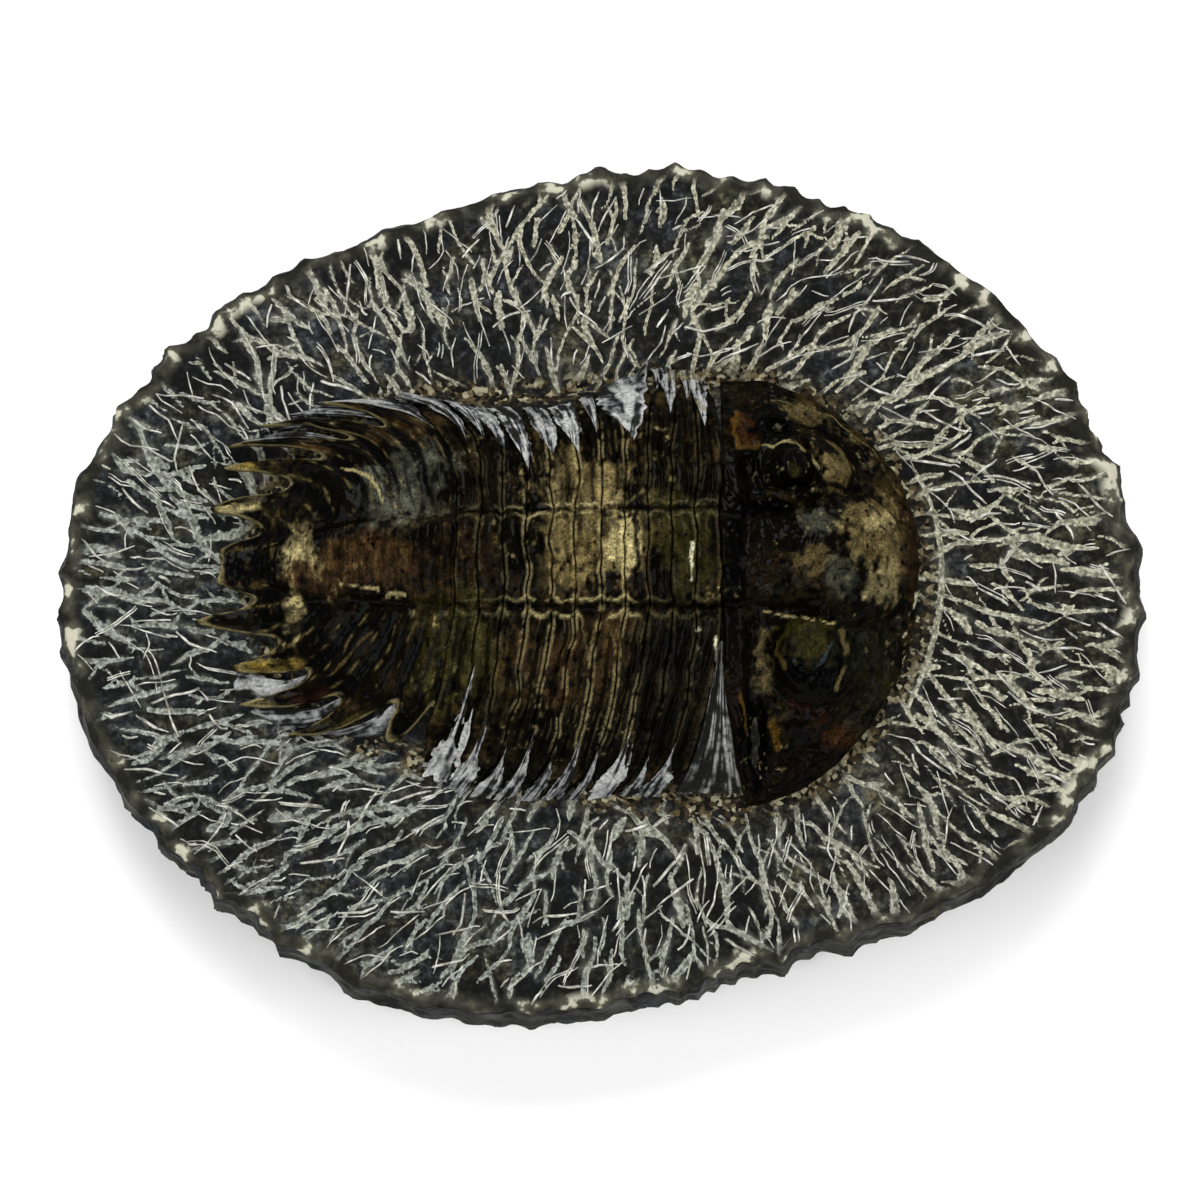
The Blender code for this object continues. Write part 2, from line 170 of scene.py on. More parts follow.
# A segment's relief, in parts of the way from its middle to its edge and along its rib
RIB_LIFT = 0.04
RIB_START = (0.19, 0.24)
RIB_FURROW = (0.39, 0.2)
RIB_FURROW_ENDS = (0.21, 0.30, 0.72, 0.88)
FURROW_NEAR = 0.25
FURROW_DRIFT = 0.45
REAR_BAND = (0.10, -0.5, 0.3)
FRONT_BAND = (0.05, 0.7, 0.2)
RING_LIP = (0.16, 0.62, 0.13)
RING_CREST = (0.2, -0.1, 0.5)
RIB_EDGE = 0.2
RIB_EDGE_SHARPNESS = 9

# How finely the pieces are modelled. The collar lies round the fossil and under it, as shares of
# the way to its foot; the face runs on from there to the rim.
COLLAR_COLUMNS = 960
COLLAR_SHARES = (0.0, 0.4, 0.6)
COLLAR_EDGE = (0.66, 1.11)
COLLAR_RINGS = 92
COLLAR_DROPS = (0.02, 0.12)
COLLAR_LIFT = 0.01
FACE_COLUMNS = 1120
FACE_START = 1.05
FACE_LAP = 0.02
FACE_RINGS = 82
# How each shell of the stone closes inside it: drops under its edge, and depths under the rim
UNDER_DROPS = (0.35, 1.6, 3.0)
UNDER_INSET = 0.25
UNDER_SLOPE = 0.3
FACE_DEPTH = 4.0
MIDDLE_DEPTH = 3.0
COLLAR_DEPTH = 1.5
COLLAR_UNDER = (0.1, 1.0)
BODY_COLUMNS = FACE_COLUMNS // 2
BODY_TOP = ((0.0, 0.9), (0.97, 1.6))
WALL_RINGS = 40
HEAD_GRID = (300, 140)
RIB_GRID = (300, 18)
TAIL_GRID = (520, 80)
FLAKE_GRID = (90, 30)

# The shell as it shows: what joins its pieces, and how deep its small relief goes
JOINT = 0.06
SINK = 0.06
GRAIN_HEIGHT = 0.035
WEAR_HEIGHT = 0.07
WANDER_SIZE = 2.6
WANDER_X = 0.24
WANDER_Y = 0.16
FOLD_DEPTH = 0.10
PIT_DEPTH = 0.22
PIT_SIZE = 0.42
PIT_SEED = 105
HEAD_WEAR = 0.10

# The colours of the shell's stains, of its painted shade and painted highlight, of the rock and of the
# scraped places
BLACK, SOOT, NAVY, MAROON = "#010101", "#0a0907", "#040608", "#0f0604"
RUST, EMBER, AMBER, OCHRE = "#1e0b05", "#2e1a09", "#413010", "#3a301a"
YELLOW, CREAM, TAN, OLIVE = "#5e5226", "#716a4f", "#4c442d", "#28250f"
MOSS, BROWN, UMBER, SLATE = "#191b10", "#2c2012", "#17110a", "#343732"
# The first colour here is a painted highlight, the bluish glint on the right eye
PAINTED_GLINT, CHALK = "#2b3439", "#858478"
SHELL_DARK, SHELL_MOTTLE, SHELL_FURROW, TAIL_GAP = "#0b0905", "#2a2213", "#0a0604", "#060708"
FLAKE_DARK, FLAKE_GREY, FLAKE_DULL, FLAKE_PALE = "#141411", "#45474a", "#12110d", "#9b9c99"
POWDER, ROCK_DUST, FLOOR_WHITE = "#7e7e74", "#5c5d57", "#f2f2f2"

# What the varnish does to the shell's colours: it warms them and deepens the dark ones
WARMTH = (0.94, 0.90, 0.76)
CONTRAST = 1.35
CONTRAST_GAIN = 3.4

# Stains by name, and black painted shade in the head's hollows and over the right eye's bowl: place, half
# length, half width, turn in degrees, colour and strength
STAINS = {
    "the head's brown rear corner": (12.5, 17.0, 3.5, 1.5, 12, UMBER, 0.8),
    "the head's rust crescent": (12.0, 13.5, 1.5, 2.0, 0, EMBER, 0.9),
    # painted shade: black in the hole beside the crescent, a hollow in the head
    "the hole beside the crescent": (14.5, 14.0, 2.0, 2.0, 0, BLACK, 1.0),
    # painted shade: black in the hollow at the left eye's rear
    "the black behind the left eye": (12.5, 10.0, 1.5, 2.0, 0, BLACK, 0.9),
    "the band round the head's front": (17.0, 15.0, 3.5, 1.0, -25, TAN, 0.6),
    "the left eye": (15.5, 10.0, 2.5, 2.0, 0, SOOT, 0.9),
    "the left eye's lobe": (16.0, 9.5, 1.0, 1.0, 0, OLIVE, 0.7),
    "the swelling before the left eye": (19.5, 10.0, 1.5, 2.0, 20, TAN, 0.9),
    # painted shade: black in the pocket behind the left eye, a hollow in the head
    "the pocket behind the left eye": (13.5, 6.5, 2.5, 1.0, 0, BLACK, 1.0),
    "the slick beside the pocket": (18.0, 5.5, 2.0, 1.5, 35, SLATE, 0.7),
    "the glabella": (22.5, 4.0, 3.0, 3.5, 0, TAN, 0.8),
    "the glabella's pale crown": (23.0, 5.5, 1.5, 1.0, 20, CREAM, 0.5),
    "the glabella's worn side": (23.0, 0.5, 2.0, 2.0, 0, CREAM, 0.4),
    "the glabella's yellow side": (17.5, 2.5, 1.5, 1.5, 0, TAN, 0.5),
    "the glabella's blue pits": (20.0, 1.0, 1.5, 2.0, 20, SLATE, 0.6),
    "the neck": (13.5, 1.0, 2.0, 3.5, 0, UMBER, 0.9),
    "the band before the glabella": (26.0, 3.0, 1.0, 7.0, 0, BROWN, 0.7),
    "the black behind the neck": (11.0, 3.0, 1.0, 9.0, 0, BLACK, 0.8),
    "the head's rear border": (11.5, -10.0, 1.0, 6.5, 0, MAROON, 0.9),
    # painted shade: black in the trench before the head's rear border
    "the trench before the border": (13.0, -12.5, 1.5, 4.5, 0, BLACK, 1.0),
    "the amber wedge": (14.5, -12.0, 0.5, 2.0, 10, AMBER, 0.7),
    "the right cheek's ridge": (13.5, -6.0, 1.0, 3.0, 0, TAN, 0.6),
    # painted shade: black over the right eye's bowl, the shadow on its steep lens surface
    "the right eye": (18.0, -5.5, 4.5, 4.0, 0, BLACK, 1.0),
    "the right eye's lobe": (17.0, -4.5, 2.0, 2.0, 0, OLIVE, 0.95),
    "the right cheek's rust": (17.5, -10.0, 2.0, 1.0, -20, RUST, 0.7),
    "the right cheek's ember": (19.5, -12.0, 1.5, 1.0, 0, EMBER, 0.7),
    "the right cheek's edge": (17.0, -14.0, 4.0, 1.5, 12, MAROON, 0.7),
    "the right cheek's front": (22.5, -6.5, 3.0, 4.5, 15, MOSS, 0.7),
    "the worn rings": (-1.0, 4.5, 4.5, 4.5, 0, TAN, 0.8),
    "the worn rings' pale middle": (2.0, 3.5, 1.5, 2.5, 0, CREAM, 0.7),
    "the worn left furrow": (0.0, 7.5, 3.5, 1.0, 0, CREAM, 0.5),
    "the worn ribs on the left": (-2.0, 8.5, 5.0, 3.0, 0, TAN, 0.7),
    "the worn ribs on the right": (-2.0, -6.0, 5.5, 4.5, 8, BROWN, 0.8),
    "the front rings": (7.0, 4.0, 3.0, 6.0, 0, OLIVE, 0.7),
    "the front ribs on the right": (6.0, -6.0, 3.0, 5.0, 0, SOOT, 0.7),
    "the dark rib tips on the right": (0.0, -12.0, 8.5, 2.5, 0, SOOT, 0.8),
    "the dark ring": (-5.5, 1.5, 1.0, 2.0, 0, NAVY, 0.6),
    "the rear rings": (-12.0, 2.0, 5.5, 3.5, 0, UMBER, 0.9),
    "the rear ribs on the right": (-12.5, -5.0, 4.0, 4.5, 0, OLIVE, 0.8),
    "the rear ribs on the left": (-10.0, 8.5, 3.5, 3.5, 0, UMBER, 0.8),
    "the tail's left ribs": (-17.0, 9.0, 5.0, 3.5, 20, SLATE, 0.9),
    "the tail's left edge": (-17.0, 14.0, 4.0, 2.0, 25, BROWN, 0.7),
    "the tail's right ribs": (-20.5, -4.5, 5.0, 4.0, -20, SOOT, 0.7),
    "the tail's rings": (-19.5, 2.0, 6.5, 2.5, 0, BROWN, 0.9),
    "the end of the tail's axis": (-25.0, 3.5, 2.0, 2.0, 0, CREAM, 0.6),
    "the rust beside the axis's end": (-25.0, 1.5, 1.0, 1.0, 0, EMBER, 0.8),
    "the tail's dark lappet": (-29.5, 2.5, 3.0, 2.0, 0, NAVY, 0.8),
    "the lappet's ochre": (-28.5, 1.0, 1.0, 0.5, 0, OCHRE, 0.8),
    "the field right of the lappet": (-25.5, -2.0, 1.0, 2.5, 0, CREAM, 0.7),
    "the first right spine": (-32.0, -1.0, 1.5, 0.5, 0, CREAM, 0.8),
    "the first right spine's base": (-30.5, -2.5, 2.5, 1.0, 0, UMBER, 0.8),
    "the second right spine": (-28.0, -6.0, 3.0, 1.0, 0, YELLOW, 0.8),
    "the second right spine's base": (-25.5, -6.5, 1.0, 0.5, 0, AMBER, 0.8),
    "the third right spine": (-28.5, -9.0, 1.5, 0.5, 0, CREAM, 0.8),
    "the third right spine's base": (-24.0, -8.5, 2.0, 1.0, 12, RUST, 0.8),
    "the tail's right edge": (-21.0, -11.0, 4.5, 1.0, 8, OLIVE, 0.8),
    "the first left spine": (-30.5, 7.5, 2.0, 0.5, 4, CREAM, 0.9),
    "the second left spine": (-30.0, 11.0, 1.5, 0.5, 0, YELLOW, 0.8),
    "the third left spine's base": (-23.5, 12.0, 2.5, 1.0, -16, BROWN, 0.9),
}

# Thin lines of colour by name, with a painted shade line in a furrow and a painted highlight on the right
# eye: colour, half width, and the points they pass
VEINS = {
    "the crescent's rim": (AMBER, 0.30, (11.5, 15.0), (11.0, 13.5), (11.5, 12.0), (13.0, 12.0)),
    "the worn edge on the head's left": (TAN, 0.06, (14.0, 16.5), (19.5, 15.0), (23.0, 12.0), (25.0, 8.5)),
    "the worn edge on the head's front": (CHALK, 0.10, (26.5, 0.5), (26.0, -1.5), (25.5, -3.5)),
    "the left eye's ridge": (CREAM, 0.12, (13.5, 12.0), (15.5, 12.5), (17.5, 11.0), (18.0, 9.5)),
    # painted shade: a black line in the furrow before the left eye
    "the furrow before the left eye": (BLACK, 0.25, (14.0, 8.5), (17.5, 8.5), (21.5, 8.5)),
    "the line over the right eye": (CREAM, 0.10, (13.5, -2.0), (16.5, -2.5), (19.5, -3.0)),
    "the right eye's front ridge": (TAN, 0.20, (20.0, -3.5), (20.5, -5.0), (19.5, -8.0)),
    "the right eye's rear ridge": (OCHRE, 0.20, (14.5, -3.5), (14.5, -5.5), (15.5, -7.5)),
    # a painted highlight: the bluish glint along the right eye's lower edge
    "the right eye's painted glint": (PAINTED_GLINT, 0.12, (16.0, -6.0), (17.0, -7.0), (18.5, -6.0), (19.0, -4.5)),
    "the border's line": (AMBER, 0.08, (11.5, -8.5), (12.0, -11.5)),
    "the long scar on the front rib": (CHALK, 0.22, (8.0, -3.5), (8.0, -6.0)),
    "the short scar on the front rib": (CHALK, 0.14, (9.5, -4.0), (9.5, -6.0)),
    "the scar on the front ring": (CHALK, 0.14, (7.5, 3.5), (7.5, 0.5)),
    "the crack across the rings": (BLACK, 0.20, (3.0, 12.5), (3.0, 4.0), (3.0, -1.0)),
    "the first pale angle": (TAN, 0.09, (-1.5, -2.5), (-1.0, -6.0), (-0.5, -3.5)),
    "the second pale angle": (TAN, 0.09, (0.5, -2.5), (1.5, -6.0), (1.5, -3.5)),
    "the pale line beside the tail's axis": (CREAM, 0.12, (-21.5, 0.5), (-19.0, 0.0), (-16.0, -0.5)),
    "the left pale fold of the tail": (CREAM, 0.11, (-21.5, 10.5), (-19.0, 9.5), (-18.0, 7.5)),
    "the right pale fold of the tail": (OCHRE, 0.12, (-22.5, -7.0), (-20.5, -5.0), (-19.0, -3.5)),
}

# The eyes' middles, and the round lobes on them and before them with their radii
RIGHT_EYE = (17.8, -5.7)
RIGHT_EYE_LOBE = (17.2, -4.9, 1.9)
LEFT_EYE = (15.8, 10.2)
LEFT_EYE_LOBE = (15.7, 10.0, 1.7)
SWELLING = (19.4, 10.0, 1.9)
RIGHT_LOBE_RISE = 1.6
LEFT_LOBE_RISE = 0.6
SWELLING_RISE = 0.6
# Round the eyes: a ring's height, radius and width, a bowl's depth and slope, a trench likewise
RIGHT_EYE_RING = (0.2, 3.2, 0.4)
RIGHT_EYE_BOWL = (1.9, 1.6, 3.0)
LEFT_EYE_RING = (0.3, 2.9, 0.3)
LEFT_EYE_TRENCH = (0.9, 2.1, 0.4)

# Hollows in the head by name: place, half length, half width, turn in degrees and depth
HEAD_HOLLOWS = {
    "the hole beside the crescent": (14.5, 14.0, 1.5, 1.0, 0, 0.9),
    "the pocket behind the left eye": (13.5, 7.0, 2.0, 1.0, 0, 0.7),
    "the furrow before the left eye": (16.0, 8.5, 3.5, 0.5, 0, 0.4),
    "the trench before the border": (13.0, -12.0, 1.0, 3.5, 0, 0.8),
    "the left eye's rear": (12.0, 10.0, 1.0, 1.5, 0, 0.5),
    "the left eye's front": (17.0, 11.5, 0.5, 1.5, 30, 0.5),
    "the broken cheek": (17.0, -12.5, 2.5, 1.5, 0, 0.5),
    "the neck": (13.5, 0.5, 1.5, 1.0, 0, 0.4),
}

# The scraped stone between the ribs' tips: side, rib, start, end, half width and brightness
FLAKES = (
    (1, 1.3, 0.60, 1.07, 0.42, 0.8), (1, 2.0, 0.74, 1.05, 0.26, 0.5), (1, 2.8, 0.66, 1.07, 0.36, 0.7),
    (1, 3.4, 0.84, 1.05, 0.20, 0.3), (1, 4.5, 0.50, 1.08, 0.74, 1.0), (1, 5.7, 0.62, 1.05, 0.22, 0.6),
    (1, 6.6, 0.52, 1.06, 0.44, 1.0), (1, 7.5, 0.50, 1.05, 0.38, 0.7), (1, 8.6, 0.44, 1.05, 0.46, 1.0),
    (1, 9.5, 0.54, 1.05, 0.36, 0.6), (1, 10.2, 0.62, 1.08, 0.28, 0.7), (1, 10.9, 0.56, 1.08, 0.26, 0.5),
    (1, 11.6, 0.60, 1.05, 0.28, 0.7), (1, 12.3, 0.56, 1.0, 0.24, 0.4), (1, 13.0, 0.60, 1.0, 0.28, 0.6),
    (1, 13.7, 0.64, 0.98, 0.22, 0.4), (-1, 1.5, 0.66, 1.05, 0.45, 0.7), (-1, 2.4, 0.72, 1.05, 0.26, 0.5),
    (-1, 3.5, 0.58, 1.07, 0.48, 0.9), (-1, 4.6, 0.70, 1.06, 0.22, 0.4), (-1, 5.5, 0.62, 1.05, 0.32, 0.6),
    (-1, 6.4, 0.66, 1.06, 0.34, 0.5), (-1, 7.5, 0.62, 1.05, 0.32, 0.7), (-1, 8.4, 0.66, 1.06, 0.36, 0.5),
    (-1, 9.5, 0.58, 1.08, 0.38, 0.7), (-1, 10.4, 0.38, 1.06, 0.46, 1.0), (-1, 12.5, 0.66, 0.95, 0.45, 0.4),
    (-1, 13.5, 0.62, 0.98, 0.40, 0.5), (-1, 14.5, 0.66, 1.0, 0.40, 0.5),
)

# How a flake of it is cut: how slanting and how torn, and how thick it lies on the ribs
FLAKE_SLANT = 0.09
FLAKE_TEAR = 0.14
FLAKE_LEAN = 0.15
FLAKE_GROWTH = 1.5
FLAKE_SINK = 0.2
LEFT_FLAKE, OTHER_FLAKE = (1.0, 0.5), (1.15, 0.2)
LEFT_BED, RIGHT_BED, TAIL_BED, LEAST_BED = 1.3, 1.1, 0.5, 0.15
BED_FALL = (0.65, 1.0)
LAST_FLANK_RIB = 11.0

# The strip of the same stone between the first rib and the head: where it starts, how long it
# is, how thick, how many splinters wide, and its brightness
STRIP_START = 0.30
STRIP_LENGTH = 0.72
STRIP_BED = (0.9, 0.5)
STRIP_SPLINTERS = 7.0
STRIP_STRETCH = 1.2
STRIP_TONE = -0.4

# The scribe's marks: how they lie to the radius, how far apart, and their size
MARK_TURN = radians(-12.0)
MARK_SPREAD = radians(17.0)
MARK_TRIES = 9000
MARK_ALONG = 3.2
MARK_ACROSS = 1.3
MARK_POINTS = 11
MARK_LENGTHS = (2.2, 7.0)
MARK_KINK = 0.5
MARK_HALVES = (0.10, 0.15, 0.21, 0.30)
MARK_SHARES = (0.25, 0.35, 0.28, 0.12)
MARK_REACH = 1.2
MARK_DEPTH = 0.14
MARK_WALL = (-0.2, 0.7)
MARK_LIP = (0.06, -0.35, 0.35)
OFF_MARK = -3.0
# The box in plan that marks are strewn in, and where the open face starts and ends
MARKED_X = (-48.0, 48.0)
MARKED_Y = (-40.0, 42.0)
MARKED_FROM = 1.02
MARKED_TO = 0.955
STROKE_WANDER = 0.07
STROKE_BEND = 0.9
STROKE_BLUNT = (0.03, 0.25)
STROKE_UNEVEN = (0.7, 1.2)
STROKE_LEAST = 0.02
FORK_SHARE = 0.6
FORK_TURNS = (0.35, 0.8)
FORK_LENGTHS = (0.2, 0.55)
FORK_WIDTHS = (0.4, 0.8)
# The crack round the head's front
CRACK_TURNS = (radians(-20.0), radians(24.0))
CRACK_REACH = 1.07
CRACK_HALF = 0.22
# The finest scratches
HAIR_TRIES = 9000
HAIR_TURN = radians(-24.0)
HAIR_SPREAD = 0.35
HAIR_ALONG = 2.2
HAIR_ACROSS = 0.95
HAIR_LENGTHS = (0.8, 4.6)
HAIR_KINK = 0.45
HAIR_RADII = (0.045, 0.065, 0.1)
HAIR_SHARES = (0.45, 0.35, 0.2)
HAIR_PAIRS = 0.3
HAIR_GAP = 0.2
HAIR_END = 0.97

# The photograph's frame: the camera looks down, tilted a little towards the stone's near side
CAMERA_TILT = radians(6.0)
CAMERA_DISTANCE = 500.0
FRAME_WIDTH = 100.8
SENSOR = 36.0
AIM_HEIGHT = 16.0
# The lights: name, azimuth, height in degrees, and watts
LIGHTS = (("key_light", 95.0, 52.0, 9.0), ("left_light", 200.0, 45.0, 4.0),
          ("right_light", -20.0, 45.0, 4.0), ("near_light", -90.0, 45.0, 3.0))
LIGHT_DISTANCE = 0.9
LIGHT_SIZE = 0.5
SKY_STRENGTH = 0.15
FLOOR_REACH = 6.0


def placed(x, y, z):
    """Points in Blender's metres, measured from the middle of the stone's base."""
    return np.stack([x - BOX_MIDDLE[0], y - BOX_MIDDLE[1], z], axis=-1) * MM


def step(low, high, value):
    """Rise smoothly from 0 at low to 1 at high."""
    part = np.clip((value - low) / (high - low), 0.0, 1.0)
    return part * part * (3.0 - 2.0 * part)


def band(value, start, full, fade, end):
    """Rise from 0 at start to 1 at full, and fall again from fade to 0 at end."""
    return step(start, full, value) * (1.0 - step(fade, end, value))


def ridge(value, centre, width):
    """A smooth ridge of height 1 across one direction."""
    return np.exp(-((value - centre) / width) ** 2)


def line(value, height, centre, width):
    """A ridge of a given height, or the depth of a furrow."""
    return height * ridge(value, centre, width)


def read(table, at):
    """Read a table of (place, values...) at many places between its entries."""
    places, *columns = zip(*table)
    found = [np.interp(at, places, column) for column in columns]
    return found[0] if len(found) == 1 else found


def lumps(x, y, z, size, seed):
    """Smooth noise from -1 to 1, with lumps of that size in millimetres."""
    cells = 37
    lattice = np.random.default_rng(seed).uniform(-1.0, 1.0, (cells, cells, cells))
    shift = np.random.default_rng(seed + 1).uniform(0.0, cells, 3)
    places = [np.asarray(axis) / size + move for axis, move in zip((x, y, z), shift)]
    lows = [np.floor(place).astype(int) for place in places]
    parts = [step(0.0, 1.0, place - low) for place, low in zip(places, lows)]
    total = 0.0
    for corner in np.ndindex(2, 2, 2):
        at = tuple((low + side) % cells for low, side in zip(lows, corner))
        weight = 1.0
        for side, part in zip(corner, parts):
            weight = weight * (part if side else 1.0 - part)
        total = total + lattice[at] * weight
    return total


def rough(x, y, z, size, seed, octaves=3):
    """Lumps upon lumps, each half as large and half as high as the last."""
    return sum(lumps(x, y, z, size / 2 ** n, seed + 7 * n) / 2 ** n for n in range(octaves))


def reach(angle):
    """How far the stone reaches from the middle, on a smooth closed curve."""
    place = (angle % tau) / tau * len(OUTLINE)
    first = np.floor(place).astype(int)
    t = place - first
    outline = np.array(OUTLINE)
    a, b, c, d = (outline[(first + turn) % len(OUTLINE)] for turn in (-1, 0, 1, 2))
    return b + 0.5 * t * (c - a + t * (2 * a - 5 * b + 4 * c - d + t * (3 * (b - c) + d - a)))


def chip(angle):
    """The depth of the bites that were broken from the rim."""
    phase = CHIP_COUNT / 2 * angle
    phase = phase + sum(strength * np.sin(count * angle + start) for count, start, strength in CHIP_WAVES)
    swing = (1.0 - CHIP_LEAST) * np.sin(5 * angle + 1.0)
    return CHIP_DEPTH * np.abs(np.sin(phase)) * (CHIP_LEAST + swing)


def stone_top(x, y):
    """The level of the prepared top, highest round the fossil and falling to the rim."""
    share = np.hypot(x, y) / reach(np.arctan2(y, x))
    level = COLLAR_HEIGHT + (RIM_HEIGHT - COLLAR_HEIGHT) * step(*COLLAR_FALL, share)
    height, along, across = BROAD_SWELL
    level = level + height * np.sin(x / along + 1.0) * np.cos(y / across)
    height, along, across = SMALL_SWELL
    level = level + height * np.sin(x / along) * np.sin(y / across)
    turn = FLUTE_COUNT * np.arctan2(y, x) + 2.0 * np.sin(np.hypot(x, y) / 3.0)
    return level - FLUTE_DEPTH * np.abs(np.sin(turn / 2)) * step(*FLUTE_FADE, share)


def footprint(x, y):
    """0 on the fossil's midline and 1 where its back meets the stone."""
    width = np.where(y > AXIS_Y, read(LEFT_WIDTHS, x), read(RIGHT_WIDTHS, x))
    across = (y - AXIS_Y) / width
    ahead = np.maximum(x - HEAD_BACK, 0.0) / (HEAD_FRONT - HEAD_BACK)
    behind = np.maximum(TAIL_FRONT - x, 0.0) / (TAIL_FRONT - TAIL_END)
    return np.sqrt(across ** 2 + ahead ** 2 + behind ** 2)


def core(x, y):
    """The stone that fills the fossil's arched back, and the open top round it."""
    inside = np.minimum(footprint(x, y), 1.0)
    return stone_top(x, y) + read(CORE_HEIGHTS, x) * (1.0 - inside ** 3)


def foot_distance(angle):
    """How far from the middle the fossil's back meets the stone, in each direction."""
    near = np.zeros_like(angle)
    far = np.full_like(angle, 40.0)
    for _ in range(24):
        middle = (near + far) / 2
        inside = footprint(middle * np.cos(angle), middle * np.sin(angle)) < 1.0
        near = np.where(inside, middle, near)
        far = np.where(inside, far, middle)
    return near


def rib_point(n, side, u):
    """Points in plan on rib n: u is 0 on the midline, AXIS_SHARE at the furrow, 1 at the tip."""
    root = read(RIB_ROOTS, n)
    half_axis = read(AXIS_HALF_WIDTHS, n)
    t = np.maximum(u - AXIS_SHARE, 0.0) / (1.0 - AXIS_SHARE)
    left_bend, right_bend = read(LEFT_BENDS, n), read(RIGHT_BENDS, n)
    left_tip, right_tip = read(LEFT_TIPS, n), read(RIGHT_TIPS, n)
    start = (root, AXIS_Y + side * half_axis)
    bend = [np.where(side > 0, left, right) for left, right in zip(left_bend, right_bend)]
    tip = [np.where(side > 0, left, right) for left, right in zip(left_tip, right_tip)]
    x, y = ((1 - t) ** 2 * a + 2 * t * (1 - t) * b + t * t * c
            for a, b, c in zip(start, bend, tip))
    on_axis = u <= AXIS_SHARE
    y = np.where(on_axis, AXIS_Y + side * half_axis * u / AXIS_SHARE, y)
    return np.where(on_axis, root, x), y


def ring_rise(u):
    """The height of the axis over the ribs, with the furrow beside it."""
    crest = RING_RISE * np.sqrt(np.maximum(0.0, 1.0 - (u / AXIS_SHARE) ** 4)) - RING_SINK
    depth, width = AXIAL_FURROW
    return np.where(u < AXIS_SHARE, crest, -depth * ridge(u, AXIS_SHARE, width))


# Meshes


def sheet(columns, rows):
    """A flat sheet of unit squares, with its corner at the origin."""
    bm = bmesh.new()
    bmesh.ops.create_grid(bm, x_segments=columns, y_segments=rows, size=0.5)
    bmesh.ops.translate(bm, verts=bm.verts, vec=(0.5, 0.5, 0.0))
    bmesh.ops.scale(bm, verts=bm.verts, vec=(columns, rows, 1.0))
    return bm


def slab(columns, rows):
    """A slab one unit thick on such a sheet, with its top at 1."""
    bm = sheet(columns, rows)
    grown = bmesh.ops.extrude_face_region(bm, geom=bm.faces[:])["geom"]
    tops = [item for item in grown if isinstance(item, bmesh.types.BMVert)]
    bmesh.ops.translate(bm, verts=tops, vec=(0.0, 0.0, 1.0))
    return bm


def corners(mesh):
    """A mesh's points as an array."""
    found = np.zeros(len(mesh.vertices) * 3, np.float32)
    mesh.vertices.foreach_get("co", found)
    return found.reshape(-1, 3).astype(float)


def set_points(mesh, points):
    """Move a mesh's points."""
    mesh.vertices.foreach_set("co", points.astype(np.float32).ravel())
    mesh.update()


def note(mesh, name, values):
    """Keep a number at each of a mesh's points, for its material to read."""
    layer = mesh.attributes.new(name, "FLOAT", "POINT")
    layer.data.foreach_set("value", values.astype(np.float32))


def note_colour(mesh, name, values):
    """Keep a colour at each of a mesh's points, for its material to read."""
    layer = mesh.attributes.new(name, "FLOAT_COLOR", "POINT")
    with_alpha = np.ones((len(values), 4), np.float32)
    with_alpha[:, :3] = values
    layer.data.foreach_set("color", with_alpha.ravel())


def to_mesh(bm, name):
    """Turn a finished bmesh into a mesh."""
    mesh = bpy.data.meshes.new(name)
    bm.to_mesh(mesh)
    bm.free()
    return mesh


def set_down(mesh, finish, slot, *nodes):
    """Make a mesh a shown piece that stands for these nodes, with its faces pointing out."""
    bm = bmesh.new()
    bm.from_mesh(mesh)
    bmesh.ops.remove_doubles(bm, verts=bm.verts, dist=MERGE * MM)
    bmesh.ops.recalc_face_normals(bm, faces=bm.faces)
    if bm.calc_volume(signed=True) < 0:
        bmesh.ops.reverse_faces(bm, faces=bm.faces)
    bm.to_mesh(mesh)
    bm.free()
    mesh.materials.append(finish)
    mesh.shade_smooth()
    piece = bpy.data.objects.new(mesh.name, mesh)
    bpy.context.scene.collection.objects.link(piece)
    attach(piece, "root")
    if nodes:
        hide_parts(*nodes)
    return piece


# The scribe's marks


def stroke_path(rng, x, y, heading, length, kink):
    """A line through a place with two kinks in it, as points in plan."""
    turns = rng.normal(0.0, STROKE_WANDER, MARK_POINTS - 1)
    bends = rng.integers(1, MARK_POINTS - 2, 2)
    turns[bends] += rng.choice((-1.0, 1.0), 2) * rng.uniform(0.0, STROKE_BEND, 2) * kink
    turn = np.cumsum(turns)
    turn += heading - turn.mean()
    stride = length / (MARK_POINTS - 1)
    xs = np.concatenate([[0.0], np.cumsum(np.cos(turn))]) * stride
    ys = np.concatenate([[0.0], np.cumsum(np.sin(turn))]) * stride
    return np.stack([x + xs - xs.mean(), y + ys - ys.mean()], axis=1)


def stroke_widths(rng, half):
    """Half widths along a mark, thin at its ends and uneven between."""
    t = np.linspace(0.0, 1.0, MARK_POINTS)
    blunt = rng.uniform(*STROKE_BLUNT, 2)
    taper = np.sin(pi * (blunt[0] + t * (1.0 - blunt.sum()))) ** 0.8
    return half * taper * rng.uniform(*STROKE_UNEVEN, MARK_POINTS) + STROKE_LEAST


def spread_out(rng, tries, along, across, turned):
    """Places on the open face with even room round each, long in the scribe's direction."""
    places = np.zeros((0, 3))
    for _ in range(tries):
        x, y = rng.uniform(*MARKED_X), rng.uniform(*MARKED_Y)
        angle = np.arctan2(y, x)
        if footprint(x, y) < MARKED_FROM or np.hypot(x, y) > MARKED_TO * reach(angle):
            continue
        heading = angle + turned + rng.normal(0.0, MARK_SPREAD)
        away = places[:, :2] - (x, y)
        lengthwise = away @ (cos(heading), sin(heading))
        sideways = away @ (-sin(heading), cos(heading))
        if np.any((lengthwise / along) ** 2 + (sideways / across) ** 2 < 1.0):
            continue
        places = np.vstack([places, (x, y, heading)])
    return places


